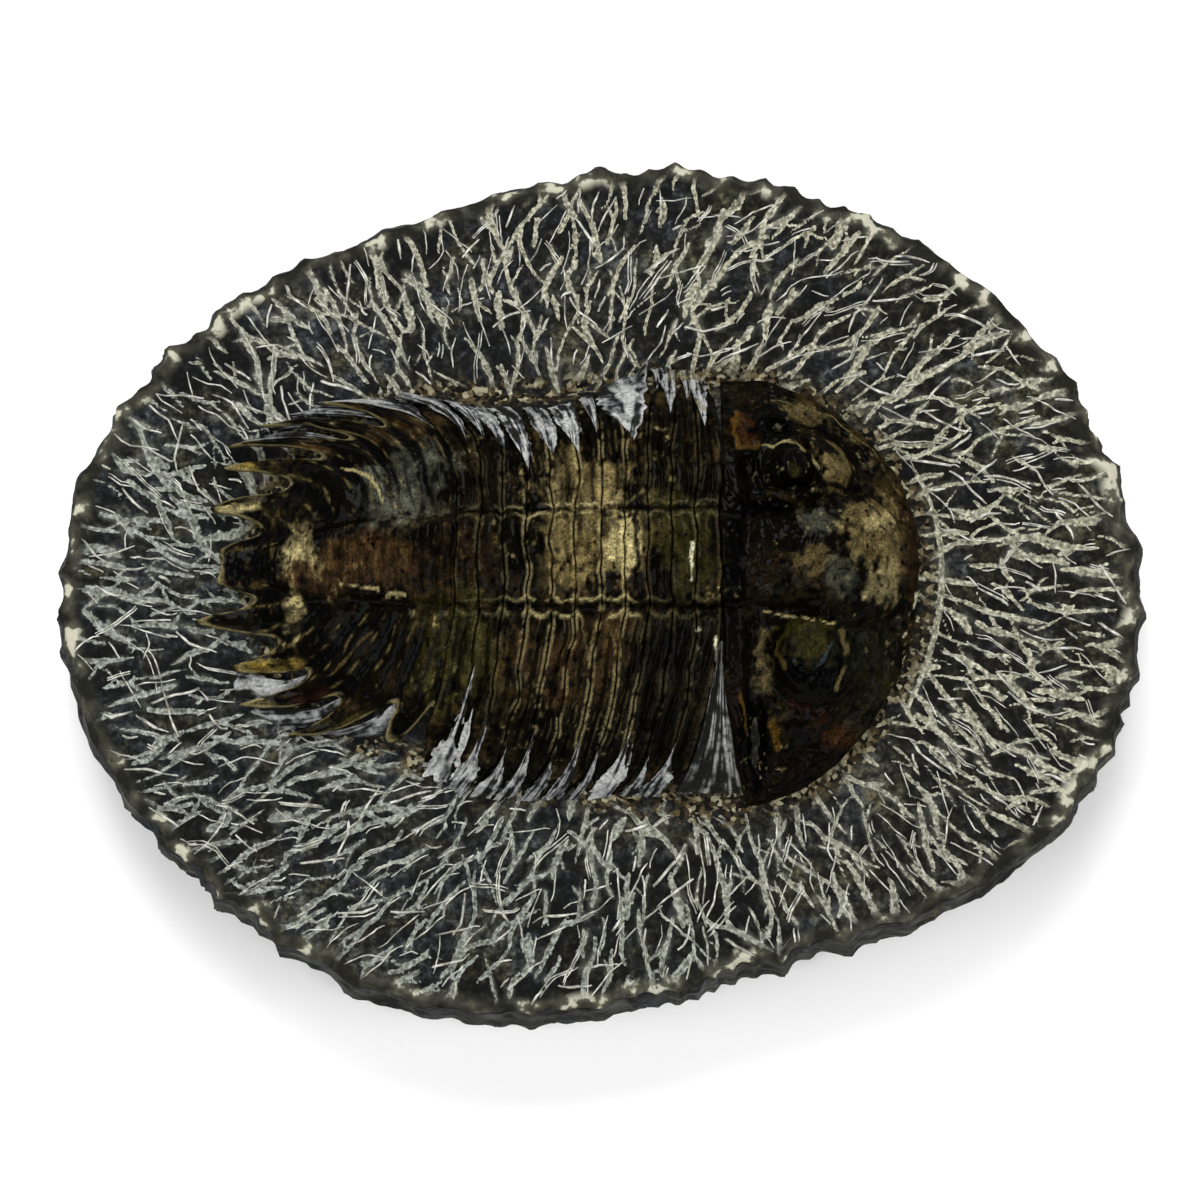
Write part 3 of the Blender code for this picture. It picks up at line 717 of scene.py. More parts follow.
def fork(rng, path, heading, way, length, half):
    """A shorter and thinner mark that leaves another one part of the way along it."""
    joint = path[rng.integers(2, MARK_POINTS - 2)]
    turn = heading + rng.choice((-1, 1)) * rng.uniform(*FORK_TURNS) + way
    short = length * rng.uniform(*FORK_LENGTHS)
    end = joint + np.array([cos(turn), sin(turn)]) * short / 2
    branch = stroke_path(rng, *end, turn, short, MARK_KINK)
    return branch, stroke_widths(rng, half * rng.uniform(*FORK_WIDTHS))


def front_crack(rng):
    """The crack that runs through the stone round the head's front."""
    turn = np.linspace(*CRACK_TURNS, MARK_POINTS)
    far = CRACK_REACH * foot_distance(turn)
    return np.stack([far * np.cos(turn), far * np.sin(turn)], axis=1), stroke_widths(rng, CRACK_HALF)


def lay_marks(rng):
    """The bold marks as (path, half widths), most of them forked, and the crack."""
    marks = []
    for x, y, heading in spread_out(rng, MARK_TRIES, MARK_ALONG, MARK_ACROSS, MARK_TURN):
        length = rng.uniform(*MARK_LENGTHS)
        half = rng.choice(MARK_HALVES, p=MARK_SHARES)
        path = stroke_path(rng, x, y, heading, length, MARK_KINK)
        marks.append((path, stroke_widths(rng, half)))
        for way in (0.0, pi):
            if rng.uniform() < FORK_SHARE:
                marks.append(fork(rng, path, heading, way, length, half))
    marks.append(front_crack(rng))
    return marks


def lay_hairs(rng):
    """The finest scratches as (path, radii), turned a little from the bold marks."""
    hairs = []
    for x, y, heading in spread_out(rng, HAIR_TRIES, HAIR_ALONG, HAIR_ACROSS, HAIR_TURN):
        turned = heading + rng.normal(0.0, HAIR_SPREAD)
        path = stroke_path(rng, x, y, turned, rng.uniform(*HAIR_LENGTHS), HAIR_KINK)
        radius = rng.choice(HAIR_RADII, p=HAIR_SHARES)
        hairs.append((path, stroke_widths(rng, radius)))
        if rng.uniform() < HAIR_PAIRS:
            beside = path[::-1] + rng.normal(0.0, HAIR_GAP, 2)
            hairs.append((beside, stroke_widths(rng, HAIR_RADII[0])))
    return hairs


def press(marks, x, y):
    """How deep each point of the face lies in a mark: 1 on its line, 0 at its edge, then below."""
    columns = x.shape[1]
    field = np.full(x.shape, OFF_MARK)
    for path, widths in marks:
        angles = np.unwrap(np.arctan2(path[:, 1], path[:, 0]))
        margin = MARK_REACH / np.hypot(path[:, 0], path[:, 1]).min()
        first = int(np.floor((angles.min() - margin) / tau * columns))
        last = int(np.ceil((angles.max() + margin) / tau * columns))
        near = np.arange(first, last + 1) % columns
        away_x, away_y = x[:, near], y[:, near]
        best = field[:, near]
        for (ax, ay), (bx, by), a, b in zip(path, path[1:], widths, widths[1:]):
            dx, dy = bx - ax, by - ay
            t = ((away_x - ax) * dx + (away_y - ay) * dy) / (dx * dx + dy * dy)
            t = np.clip(t, 0.0, 1.0)
            distance = np.hypot(away_x - ax - t * dx, away_y - ay - t * dy)
            best = np.maximum(best, 1.0 - distance / (a + t * (b - a)))
        field[:, near] = best
    return field


# The stone


def scallops(angle):
    """Small uneven bites along the rim, each a few millimetres long."""
    phase = SCALLOP_COUNT * angle + 1.5 * np.sin(5.0 * angle) + np.sin(11.0 * angle + 2.0)
    swing = (1.0 - SCALLOP_LEAST) * np.sin(3.5 * angle + np.sin(2.0 * angle)) ** 2
    return SCALLOP_DEPTH * np.abs(np.sin(phase)) * (SCALLOP_LEAST + swing)


def rim_distance(angle):
    """How far from the middle the top's edge lies."""
    return reach(angle) - chip(angle) - WALL_FLARE * RIM_SHARE - scallops(angle) + RIM_SPARE


def wall_shape(angle, height):
    """How far out the broken wall lies, at each share of the rim's height."""
    x, y, z = reach(angle) * np.cos(angle), reach(angle) * np.sin(angle), height * RIM_HEIGHT
    broken = sum(depth * np.abs(lumps(x, y, z, size, seed)) for depth, size, seed in WALL_BREAKS)
    grit = sum(depth * lumps(x, y, z, size, seed) for depth, size, seed in WALL_GRIT)
    swell = read(WALL_SWELL, height) * WALL_FLARE
    return rim_distance(angle) + swell - (broken - WALL_MEAN - grit) * band(height, *WALL_FADE)


def hills(x, y):
    """The uneven ground between the marks, crumbly close round the fossil."""
    inside = footprint(x, y)
    crumbs = CRUMB_HEIGHT * band(inside, *CRUMB_ZONE) * rough(x, y, 0 * x, 0.7, 65, 2)
    ground = (GROUND_HEIGHT * rough(x, y, 0 * x, 3.2, 61, 3)
              + GROUND_GRAIN * lumps(x, y, 0 * x, 0.35, 64))
    return ground * step(*OPEN_TOP, inside) + crumbs + GROUND_WEAR * rough(x, y, 0 * x, 0.8, 66, 2)


def frayed(x, y, seed):
    """How far a mark's edge strays to one side."""
    return 0.06 * lumps(x, y, 0 * x, 0.9, seed) + 0.05 * lumps(x, y, 0 * x, 0.3, seed + 1)


def surface(x, y, marks):
    """The prepared top's level, and how deep each point lies in a mark."""
    field = press(marks, x + frayed(x, y, 51), y + frayed(x, y, 53))
    groove = MARK_DEPTH * step(*MARK_WALL, field) - line(field, *MARK_LIP)
    open_top = step(*OPEN_TOP, footprint(x, y))
    return core(x, y) + hills(x, y) - groove * open_top, np.where(open_top > 0.0, field, OFF_MARK)


def roll_up(name, angle, out, z, notes, finish, *nodes):
    """Close a grid of rings and columns into a ball, with its notes on its points."""
    mesh = to_mesh(sheet(len(angle), len(out) - 1), name)
    found = np.rint(corners(mesh)).astype(int)
    ring, column = found[:, 1], found[:, 0] % len(angle)
    far, turn = out[ring, column], angle[column]
    set_points(mesh, placed(far * np.cos(turn), far * np.sin(turn), z[ring, column]))
    for title, values in notes.items():
        note(mesh, title, values[ring, column])
    return set_down(mesh, finish, "matrix_stone", *nodes)


def make_face(marks):
    """The prepared top of the stone from the fossil's collar to the rim, scribed all over."""
    angle = np.arange(FACE_COLUMNS) / FACE_COLUMNS * tau
    foot, rim, centre = foot_distance(angle), rim_distance(angle), 0.0 * angle
    shares = np.linspace(0.0, 1.0, FACE_RINGS)[:, None]
    out = FACE_START * foot + shares * (rim - FACE_START * foot)
    z, field = surface(out * np.cos(angle), out * np.sin(angle), marks)
    z = z - RIM_DROP * step(*RIM_ROUND, out / rim) ** 2
    first = np.array([centre, foot * (FACE_START - FACE_LAP)])
    last = np.array([out[-1] - UNDER_INSET - drop * UNDER_SLOPE for drop in UNDER_DROPS] + [centre])
    low = np.array([z[-1] - drop for drop in UNDER_DROPS] + [centre + RIM_HEIGHT - FACE_DEPTH])
    whole = np.vstack([first, out, last])
    levels = np.vstack([0.0 * first + RIM_HEIGHT - MIDDLE_DEPTH, z, low])
    marked = np.vstack([np.full(first.shape, OFF_MARK), field, np.full(last.shape, OFF_MARK)])
    at_rim = step(*RIM_BAND, np.clip(whole / rim, 0.0, 1.0))
    notes = {"mark": marked, "rim": at_rim, "foot": 0.0 * at_rim}
    roll_up("scribed_face", angle, whole, levels, notes, scribed_limestone(), "matrix")
    return out, z


def make_collar(marks):
    """The stone under the fossil's joints and close round it, fine enough for its crumbs."""
    angle = np.arange(COLLAR_COLUMNS) / COLLAR_COLUMNS * tau
    shares = np.append(COLLAR_SHARES, np.linspace(*COLLAR_EDGE, COLLAR_RINGS))[:, None]
    out = shares * foot_distance(angle)
    z, field = surface(out * np.cos(angle), out * np.sin(angle), marks)
    z[-2:] -= np.array(COLLAR_DROPS)[:, None]
    inset, drop = COLLAR_UNDER
    last = np.array([out[-1] - inset, 0.0 * angle])
    low = np.array([z[-1] - drop, 0.0 * angle + RIM_HEIGHT - COLLAR_DEPTH])
    whole, levels = np.vstack([out, last]), np.vstack([z + COLLAR_LIFT, low])
    marked = np.vstack([field, np.full(last.shape, OFF_MARK)])
    crumbs = band(footprint(whole * np.cos(angle), whole * np.sin(angle)), *CRUMB_BAND)
    notes = {"mark": marked, "rim": 0.0 * marked, "foot": crumbs}
    roll_up("collar_face", angle, whole, levels, notes, scribed_limestone())


def make_body(top):
    """The rest of the stone: its broken wall and its flat base, hung from the face's edge."""
    angle = np.arange(BODY_COLUMNS) / BODY_COLUMNS * tau
    (centre, inner), (outer, drop) = BODY_TOP
    rim, middle = rim_distance(angle), 0.0 * angle + RIM_HEIGHT - MIDDLE_DEPTH
    out = [centre * rim, inner * rim, outer * rim]
    z = [middle, middle, top - drop]
    for height in np.linspace(1.0, 0.0, WALL_RINGS):
        out.append(wall_shape(angle, height + 0.0 * angle))
        z.append(height * top)
    out.append(0.0 * angle)
    z.append(0.0 * angle)
    roll_up("broken_wall", angle, np.array(out), np.array(z), {}, broken_limestone())


def along_ring(grid, ring, column):
    """Read a grid's ring or rings at places between their columns."""
    columns = grid.shape[1]
    low = np.floor(column).astype(int) % columns
    part = column - np.floor(column)
    return grid[ring, low] * (1 - part) + grid[ring, (low + 1) % columns] * part


def make_hairs(out, z, rng):
    """The finest scratches, as thin ridges of crushed stone lying along the face."""
    curve = bpy.data.curves.new("hairline_scratches", "CURVE")
    curve.dimensions = "3D"
    curve.bevel_depth = MM
    curve.bevel_resolution = 0
    curve.use_fill_caps = True
    for path, radii in lay_hairs(rng):
        column = np.arctan2(path[:, 1], path[:, 0]) % tau / tau * FACE_COLUMNS
        near, rim = along_ring(out, 0, column), along_ring(out, -1, column)
        place = (np.hypot(path[:, 0], path[:, 1]) - near) / (rim - near)
        if place.min() < 0.0 or place.max() > HAIR_END:
            continue
        ring = place * (FACE_RINGS - 1)
        under = np.floor(ring).astype(int)
        rest = ring - under
        level = along_ring(z, under, column) * (1 - rest) + along_ring(z, under + 1, column) * rest
        spline = curve.splines.new("POLY")
        spline.points.add(MARK_POINTS - 1)
        spots = np.ones((MARK_POINTS, 4))
        spots[:, :3] = placed(path[:, 0], path[:, 1], level + 0.01)
        spline.points.foreach_set("co", spots.ravel())
        spline.points.foreach_set("radius", radii)
    drawn = bpy.data.objects.new("hairline_curves", curve)
    bpy.context.scene.collection.objects.link(drawn)
    mesh = bpy.data.meshes.new_from_object(drawn.evaluated_get(bpy.context.evaluated_depsgraph_get()))
    mesh.name = "hairline_scratches"
    bpy.data.objects.remove(drawn)
    return set_down(mesh, crushed_stone(), "matrix_stone")


# The fossil


def slab_grid(mesh):
    """The column and row of each of a slab's points, and whether it is on top."""
    found = corners(mesh)
    return found[:, 0], found[:, 1], found[:, 2] > 0.5


def blot(x, y, fray, middle_x, middle_y, long, wide, turn):
    """How far each point lies inside a blot: 1 in its middle and 0 at its ragged edge."""
    a = radians(turn)
    along = (x - middle_x) * cos(a) + (y - middle_y) * sin(a)
    across = (y - middle_y) * cos(a) - (x - middle_x) * sin(a)
    return 1.0 - np.hypot(along / long, across / wide) + fray


def plain(x, text):
    """One colour at every point."""
    return np.tile(linear(text), (len(x), 1))


def tinted(colours, weight, text):
    """Lay one colour over others, by each point's weight."""
    return colours + (np.array(linear(text)) - colours) * weight[:, None]


def run_along(x, y, points):
    """How far each point lies from a line of points."""
    nearest = np.full(x.shape, 99.0)
    for (ax, ay), (bx, by) in zip(points, points[1:]):
        dx, dy = bx - ax, by - ay
        t = np.clip(((x - ax) * dx + (y - ay) * dy) / (dx * dx + dy * dy), 0.0, 1.0)
        nearest = np.minimum(nearest, np.hypot(x - ax - t * dx, y - ay - t * dy))
    return nearest


def specked(colours, where, noise, low, high, text):
    """Strew specks of one colour where the noise is highest."""
    return tinted(colours, where * step(low, high, noise), text)


def shell_colours(x, y, z):
    """The shell's own mottled brown, with its stains, the black painted shade in the head's hollows and
    the right eye's bowl, and its granules.
    """
    broad = rough(x, y, z, 2.4, 71, 3)
    fine = rough(x, y, z, 0.55, 75, 3)
    tiny = lumps(x, y, z, 0.24, 79)
    colours = plain(x, SHELL_DARK)
    colours = tinted(colours, step(-0.3, 1.0, broad + 0.7 * fine), SHELL_MOTTLE)
    fray = 0.40 * broad + 0.35 * fine
    tone = 1.0 + 0.5 * rough(x, y, z, 0.5, 95, 3)
    for *place, text, strength in STAINS.values():
        inside = strength * step(-0.1, 0.4, blot(x, y, fray, *place))
        colour = np.array(linear(text)) * tone[:, None]
        colours = colours + (colour - colours) * inside[:, None]
    granular = (1.0 - step(-9.5, -7.0, x)) * (1.0 - step(0.16, 0.30, np.abs(y - AXIS_Y) / 20.0))
    colours = specked(colours, 0.6 * granular, fine + 0.4 * tiny, 0.6, 0.9, OCHRE)
    colours = specked(colours, 0.5 * granular, broad - fine, 1.0, 1.4, RUST)
    colours = specked(colours, 0.9, -fine - 0.5 * tiny, 0.7, 1.0, BLACK)
    uneven = step(0.0, 0.6, rough(x, y, z, 3.5, 89, 2))
    return specked(colours, 0.45 * uneven, fine - 0.6 * tiny, 0.7, 1.1, CREAM)


def veined(colours, x, y, z):
    """Lay the thin lines over the shell's colours, broken and uneven, among them a line of painted shade
    and a painted highlight.
    """
    shift_x = x + 0.20 * rough(x, y, z, 1.0, 97, 2)
    shift_y = y + 0.20 * rough(x, y, z, 1.0, 98, 2)
    uneven = 1.0 + 0.6 * lumps(x, y, z, 0.8, 99)
    broken = step(-0.6, -0.1, rough(x, y, z, 0.9, 100, 2))
    for text, half, *points in VEINS.values():
        away = run_along(shift_x, shift_y, points) / (half * uneven)
        colours = tinted(colours, 0.85 * broken * (1.0 - step(0.7, 1.2, away)), text)
    colours = np.clip(colours * WARMTH, 0.0, 1.0)
    bright = colours.mean(axis=1)[:, None]
    return np.clip(colours * CONTRAST_GAIN * bright ** (CONTRAST - 1.0), 0.0, 1.0)


def furrow_line(u):
    """Where a rib's furrow lies across it: ahead of the middle at first, and behind it at the tip."""
    return FURROW_NEAR - FURROW_DRIFT * step(0.2, 0.9, u)


def rib_relief(u, across, taper):
    """A segment's section: a rounded ring on the axis, and a furrow along each rib."""
    on_rib = step(*RIB_START, u)
    depth, width = RIB_FURROW
    groove = depth * band(u, *RIB_FURROW_ENDS) * ridge(across, furrow_line(u), width)
    rib = (line(across, *REAR_BAND) + line(across, *FRONT_BAND)) * on_rib - groove
    ring = (line(across, *RING_CREST) - line(across, *RING_LIP)) * (1.0 - on_rib)
    edge = RIB_EDGE * np.abs(across) ** RIB_EDGE_SHARPNESS
    return (RIB_LIFT + ring + rib - edge) * taper


def shell_wear(x, y, z):
    """The small unevenness of the worn shell."""
    grain = GRAIN_HEIGHT * lumps(x, y, z, 0.32, 81)
    return grain + WEAR_HEIGHT * rough(x, y, z, 1.3, 83, 3)


def wander(x, y):
    """The small wandering of the shell's joints, the same on both sides of each."""
    return (x + WANDER_X * rough(x, y, 0 * x, WANDER_SIZE, 85, 3),
            y + WANDER_Y * rough(x, y, 0 * x, WANDER_SIZE, 87, 2))


def streaked(colours, across, u, n, side):
    """Long light and dark streaks that run out along a rib."""
    along = u * 7.0 + 5.0 * n
    broad = lumps(across * 1.4 + 9.0 * n, along, 4.0 * side, 1.0, 131)
    fine = lumps(across * 3.6 + 5.0 * n, along * 1.8, 4.0 * side, 1.0, 133)
    return colours * (1.0 + 0.55 * broad + 0.55 * fine)[:, None].clip(0.15, 2.4)


def rib_colours(colours, x, u, across, noise):
    """A segment's lines: pale joints beside dark gaps, a dark furrow, and the ring's end."""
    worn = 0.25 + 0.75 * step(-9.0, -5.0, x) * (1.0 - step(2.6, 3.6, x))
    whole = 1.0 - step(0.62, 0.8, u)
    furrow = ridge(across, furrow_line(u), 0.13) * step(0.21, 0.24, u)
    colours = tinted(colours, 0.9 * furrow * whole * step(-0.8, -0.1, noise), SHELL_FURROW)
    beside = ridge(np.abs(across - furrow_line(u)), 0.24, 0.07)
    colours = tinted(colours, 0.55 * worn * beside * whole * (u > 0.23) * step(-0.1, 0.4, noise), TAN)
    seam = ridge(np.abs(across), 0.84, 0.07) * step(-0.35, 0.15, noise)
    colours = tinted(colours, 0.85 * worn * whole * seam, CREAM)
    colours = tinted(colours, 0.8 * step(0.93, 1.0, np.abs(across)) * step(-0.6, 0.1, noise), BLACK)
    u = u + 0.012 * noise + 0.02 * across ** 2
    ends = (ridge(u, 0.185, 0.006) + ridge(u, 0.232, 0.006)) * step(-0.4, 0.1, noise)
    colours = tinted(colours, 0.9 * np.minimum(worn * ends, 1.0), CREAM)
    return tinted(colours, 0.8 * ridge(u, 0.208, 0.009) * step(-0.7, 0.0, noise), BLACK)


def make_segment(n):
    """A thoracic segment: a ring on the axis, and a rib down each side to its point."""
    mesh = to_mesh(slab(*RIB_GRID), f"segment_{n:02d}")
    column, row, on_top = slab_grid(mesh)
    along = column / RIB_GRID[0] * 2.0 - 1.0
    across = row / RIB_GRID[1] * 2.0 - 1.0
    u, side = np.abs(along), np.where(along < 0.0, -1.0, 1.0)
    taper = 1.0 - (1.0 - TIP_WIDTH) * step(TIP_START, 1.0, u)
    pitch = HEAD_BACK - read(RIB_ROOTS, 1.5)
    x, y = wander(*rib_point(n - across * (0.5 - JOINT / 2 / pitch) * taper, side, u))
    under = core(x, y)
    over = (under + GAP + SHELL * (TIP_THICKNESS + (1.0 - TIP_THICKNESS) * taper) + ring_rise(u)
            + rib_relief(u, across, taper) + shell_wear(x, y, under))
    set_points(mesh, placed(x, y, np.where(on_top, over, under - SINK)))
    colours = streaked(shell_colours(x, y, over), across, u, n, side)
    colours = rib_colours(colours, x, u, across, rough(x, y, over, 0.8, 91, 3))
    note_colour(mesh, "stain", veined(colours, x, y, over))
    return set_down(mesh, varnished_shell(), "thorax_shell", f"thoracic_segment_{n:02d}")


def flake_look(x, y, z, across, part, n, tone):
    """A flake's splinters: how high they stand, and their grey with its black lines."""
    lean = across + 0.35 * part
    streak = lumps(lean * 2.4 + 11.0 * n, part * 3.0, 3.0 * n + 0 * part, 1.0, 113)
    fine = lumps(lean * 6.0 + 5.0 * n, part * 4.0, 3.0 * n + 0 * part, 1.0, 117)
    splinters = streak + 0.9 * fine + 0.5 * rough(x, y, z, 0.6, 119, 3)
    grey, low = (FLAKE_GREY, -0.4) if tone > 0 else (FLAKE_DULL, 0.2)
    colours = tinted(plain(x, FLAKE_DARK), step(-0.9, 0.4, splinters + 0.5 * tone), grey)
    colours = tinted(colours, (0.3 + 0.7 * abs(tone)) * step(low, low + 1.0, splinters), FLAKE_PALE)
    colours = tinted(colours, 0.9 * step(0.15, 0.5, -splinters), SOOT)
    straw = step(0.1, 0.5, rough(x, y, z, 1.5, 121, 2)) * (n < 3.0) * (y > AXIS_Y)
    return 0.10 * streak + 0.05 * fine, tinted(colours, 0.7 * straw, CREAM)


def close_flake(mesh, x, y, bed, across, part, n, tone):
    """Shape one flake and colour it."""
    on_top = slab_grid(mesh)[2]
    under = core(x, y)
    height, colours = flake_look(x, y, under, across, part, n, tone)
    over = under + bed + height - FLAKE_SINK * np.minimum(np.abs(across), 1.0) ** 4
    set_points(mesh, placed(x, y, np.where(on_top, over, under - FLAKE_SINK)))
    note_colour(mesh, "stain", colours)


def make_flake(side, n, start, end, half, tone):
    """One flake: a ragged wedge with a slanting inner end, lying out along the ribs."""
    mesh = to_mesh(slab(*FLAKE_GRID), "flake")
    column, row = slab_grid(mesh)[:2]
    part = column / FLAKE_GRID[0]
    across = row / FLAKE_GRID[1] * 2.0 - 1.0
    torn = lumps(part * 8.0, 3.0 * across, 7.0 * n + 0 * part, 1.0, 111)
    ragged = lumps(part * 22.0, 3.0 * across, 9.0 * n + 0 * part, 1.0, 112)
    nearest = start + FLAKE_SLANT * (1.0 - across)
    u = nearest + (end - nearest) * part * (1.0 + 0.12 * torn * part)
    on_flank = n < LAST_FLANK_RIB
    spread, blunt = LEFT_FLAKE if side > 0 and on_flank else OTHER_FLAKE
    width = np.clip(blunt + part * FLAKE_GROWTH, 0.0, 1.0) * (1.0 + FLAKE_TEAR * (torn + ragged))
    width = spread * half * width
    x, y = rib_point(n + FLAKE_LEAN * half * part - across * width, float(side), u)
    on_ribs = (LEFT_BED if side > 0 else RIGHT_BED) if on_flank else TAIL_BED
    bed = on_ribs * (1.0 - step(*BED_FALL, part)) + LEAST_BED
    close_flake(mesh, x, y, bed, across, part, n, tone)
    return mesh


def make_strip():
    """The streaky strip between the head's right rear corner and the first rib."""
    mesh = to_mesh(slab(*FLAKE_GRID), "strip")
    column, row = slab_grid(mesh)[:2]
    part, share = column / FLAKE_GRID[0], row / FLAKE_GRID[1]
    rib_x, y = rib_point(0.5 + 0 * part, -1.0, STRIP_START + STRIP_LENGTH * part)
    head_x = HEAD_BACK + 0.2 + GENAL_SWING * ((AXIS_Y - y) / read(RIGHT_WIDTHS, HEAD_BACK)) ** 3
    x = rib_x + share * (head_x - rib_x)
    thick, thinning = STRIP_BED
    across = STRIP_SPLINTERS * (share - 0.5)
    close_flake(mesh, x, y, thick - thinning * part, across, part * STRIP_STRETCH, 0.3, STRIP_TONE)
    return mesh


def make_flakes():
    """The stone that was scraped flat between the tips of the ribs, with its splinters."""
    whole = bmesh.new()
    for mesh in [make_flake(*flake) for flake in FLAKES] + [make_strip()]:
        whole.from_mesh(mesh)
        bpy.data.meshes.remove(mesh)
    return set_down(to_mesh(whole, "scraped_flakes"), splintered_stone(), "matrix_stone")


def head_relief(x, across):
    """The head's own shape over its arch: glabella, eyes and furrows."""
    lobe = ((x - LOBE_X) / LOBE_LENGTH) ** 2 + (across / LOBE_WIDTH) ** 2
    front = LOBE_RISE * np.sqrt(np.maximum(0.0, 1.0 - lobe ** 2))
    half = NECK_HALF_WIDTH + NECK_FLARE * (x - HEAD_BACK)
    rear = RING_RISE * np.sqrt(np.maximum(0.0, 1.0 - (across / half) ** 4))
    rear = rear * (1.0 - step(*NECK_END, x))
    rear = rear - line(x, *NECK_FURROW) * step(0.0, half, np.abs(across) + NECK_FURROW_REACH)
    eye = np.hypot(x - EYE_X, np.abs(across) - EYE_ACROSS)
    inner, outer = EYE_SLOPE
    turret = EYE_RISE * (1.0 - step(EYE_RADIUS - inner, EYE_RADIUS + outer, eye))
    furrow = line(x, *REAR_FURROW) * step(*REAR_FURROW_START, np.abs(across))
    return np.maximum(front, rear) + turret - line(eye, *EYE_DITCH) - furrow


def dome(x, y, middle_x, middle_y, radius):
    """A round dome of height 1."""
    far = np.hypot(x - middle_x, y - middle_y) / radius
    return np.sqrt(np.maximum(0.0, 1.0 - far ** 2))


def pitting(x, y):
    """The lumps whose highest places are the pits of the head's front lobe."""
    return lumps(x, y, 0 * x, PIT_SIZE, PIT_SEED)


def head_detail(x, y):
    """The head's finer relief: the eyes' lobes and trenches, hollows, folds and pits."""
    bowl = np.hypot(x - RIGHT_EYE[0], y - RIGHT_EYE[1])
    depth, *slope = RIGHT_EYE_BOWL
    detail = line(bowl, *RIGHT_EYE_RING) - depth * (1.0 - step(*slope, bowl))
    detail += RIGHT_LOBE_RISE * dome(x, y, *RIGHT_EYE_LOBE)
    bowl = np.hypot(x - LEFT_EYE[0], y - LEFT_EYE[1])
    detail += line(bowl, *LEFT_EYE_RING) - line(bowl, *LEFT_EYE_TRENCH) * step(14.5, 16.5, x)
    detail += LEFT_LOBE_RISE * dome(x, y, *LEFT_EYE_LOBE) + SWELLING_RISE * dome(x, y, *SWELLING)
    fray = 0.2 * rough(x, y, 0 * x, 1.2, 101, 3)
    for *place, depth in HEAD_HOLLOWS.values():
        detail -= depth * step(0.0, 0.8, blot(x, y, fray, *place))
    folds = np.abs(np.sin(2.4 * (x + y * 0.35) + 1.4 * lumps(x, y, 0 * x, 2.4, 103)))
    detail -= FOLD_DEPTH * (1.0 - folds) ** 2
    lobe = ((x - LOBE_X) / LOBE_LENGTH) ** 2 + ((y - AXIS_Y) / LOBE_WIDTH) ** 2
    pits = step(0.35, 0.75, pitting(x, y)) * step(-0.3, 0.2, lumps(x, y, 0 * x, 1.6, 106))
    detail -= PIT_DEPTH * pits * (1.0 - step(0.8, 1.2, lobe))
    return detail + HEAD_WEAR * rough(x, y, 0 * x, 0.8, 107, 2)


def make_head():
    """The head shield: a slab laid over the front of the arch."""
    mesh = to_mesh(slab(*HEAD_GRID), "head_shield")
    column, row, on_top = slab_grid(mesh)
    s = column / HEAD_GRID[0] * 2.0 - 1.0
    part = row / HEAD_GRID[1]
    c = HEAD_REACH * (0.6 * s + 0.4 * np.sin(s * pi / 2))
    width = np.where(c > 0.0, read(LEFT_WIDTHS, HEAD_BACK), read(RIGHT_WIDTHS, HEAD_BACK))
    front = HEAD_BACK + (HEAD_FRONT - HEAD_BACK) * np.sqrt(1.0 - c * c)
    back = HEAD_BACK + JOINT / 2 + GENAL_SWING * np.maximum(-c, 0.0) ** 3
    x, y = wander(back + part * (front - back), AXIS_Y + c * width)
    under = core(x, y)
    inside = footprint(x, y)
    border = BORDER_RISE * step(*BORDER_START, inside) - line(inside, *BORDER_FURROW)
    rim = np.maximum(np.abs(2.0 * part - 1.0), np.abs(s)) ** EDGE_SHARPNESS
    over = (under + GAP + SHELL + head_relief(x, y - AXIS_Y) + border - EDGE_DROP * rim
            + head_detail(x, y) * (1.0 - rim) + shell_wear(x, y, under))
    set_points(mesh, placed(x, y, np.where(on_top, over, under - SINK)))
    colours = shell_colours(x, y, over)
    pits = step(0.35, 0.6, pitting(x, y)) * step(17.0, 18.5, x) * step(-2.0, 0.0, y)
    colours = veined(colours, x, y, over)
    note_colour(mesh, "stain", tinted(colours, 0.8 * pits, BLACK))
    return set_down(mesh, varnished_shell(), "head_shell", "cephalon")


def tail_colours(colours, wave, u, out, noise):
    """The tail's lines: dark between the ribs and along them, pale beside those and at the edge."""
    dark = step(0.3, 0.8, -wave) * step(0.2, 0.3, u) * step(-0.9, -0.2, noise)
    dark = dark + 0.8 * ridge(wave, 1.0, 0.12) * step(0.24, 0.34, u) * step(-0.5, 0.1, noise)
    colours = tinted(colours, 0.9 * np.minimum(dark, 1.0), TAIL_GAP)
    beside = ridge(wave, -0.05, 0.22) * step(0.22, 0.3, u) * step(0.0, 0.5, noise)
    colours = tinted(colours, 0.85 * beside, TAN)
    return tinted(colours, 0.6 * step(0.93, 0.99, out) * step(-0.5, 0.1, noise), CREAM)


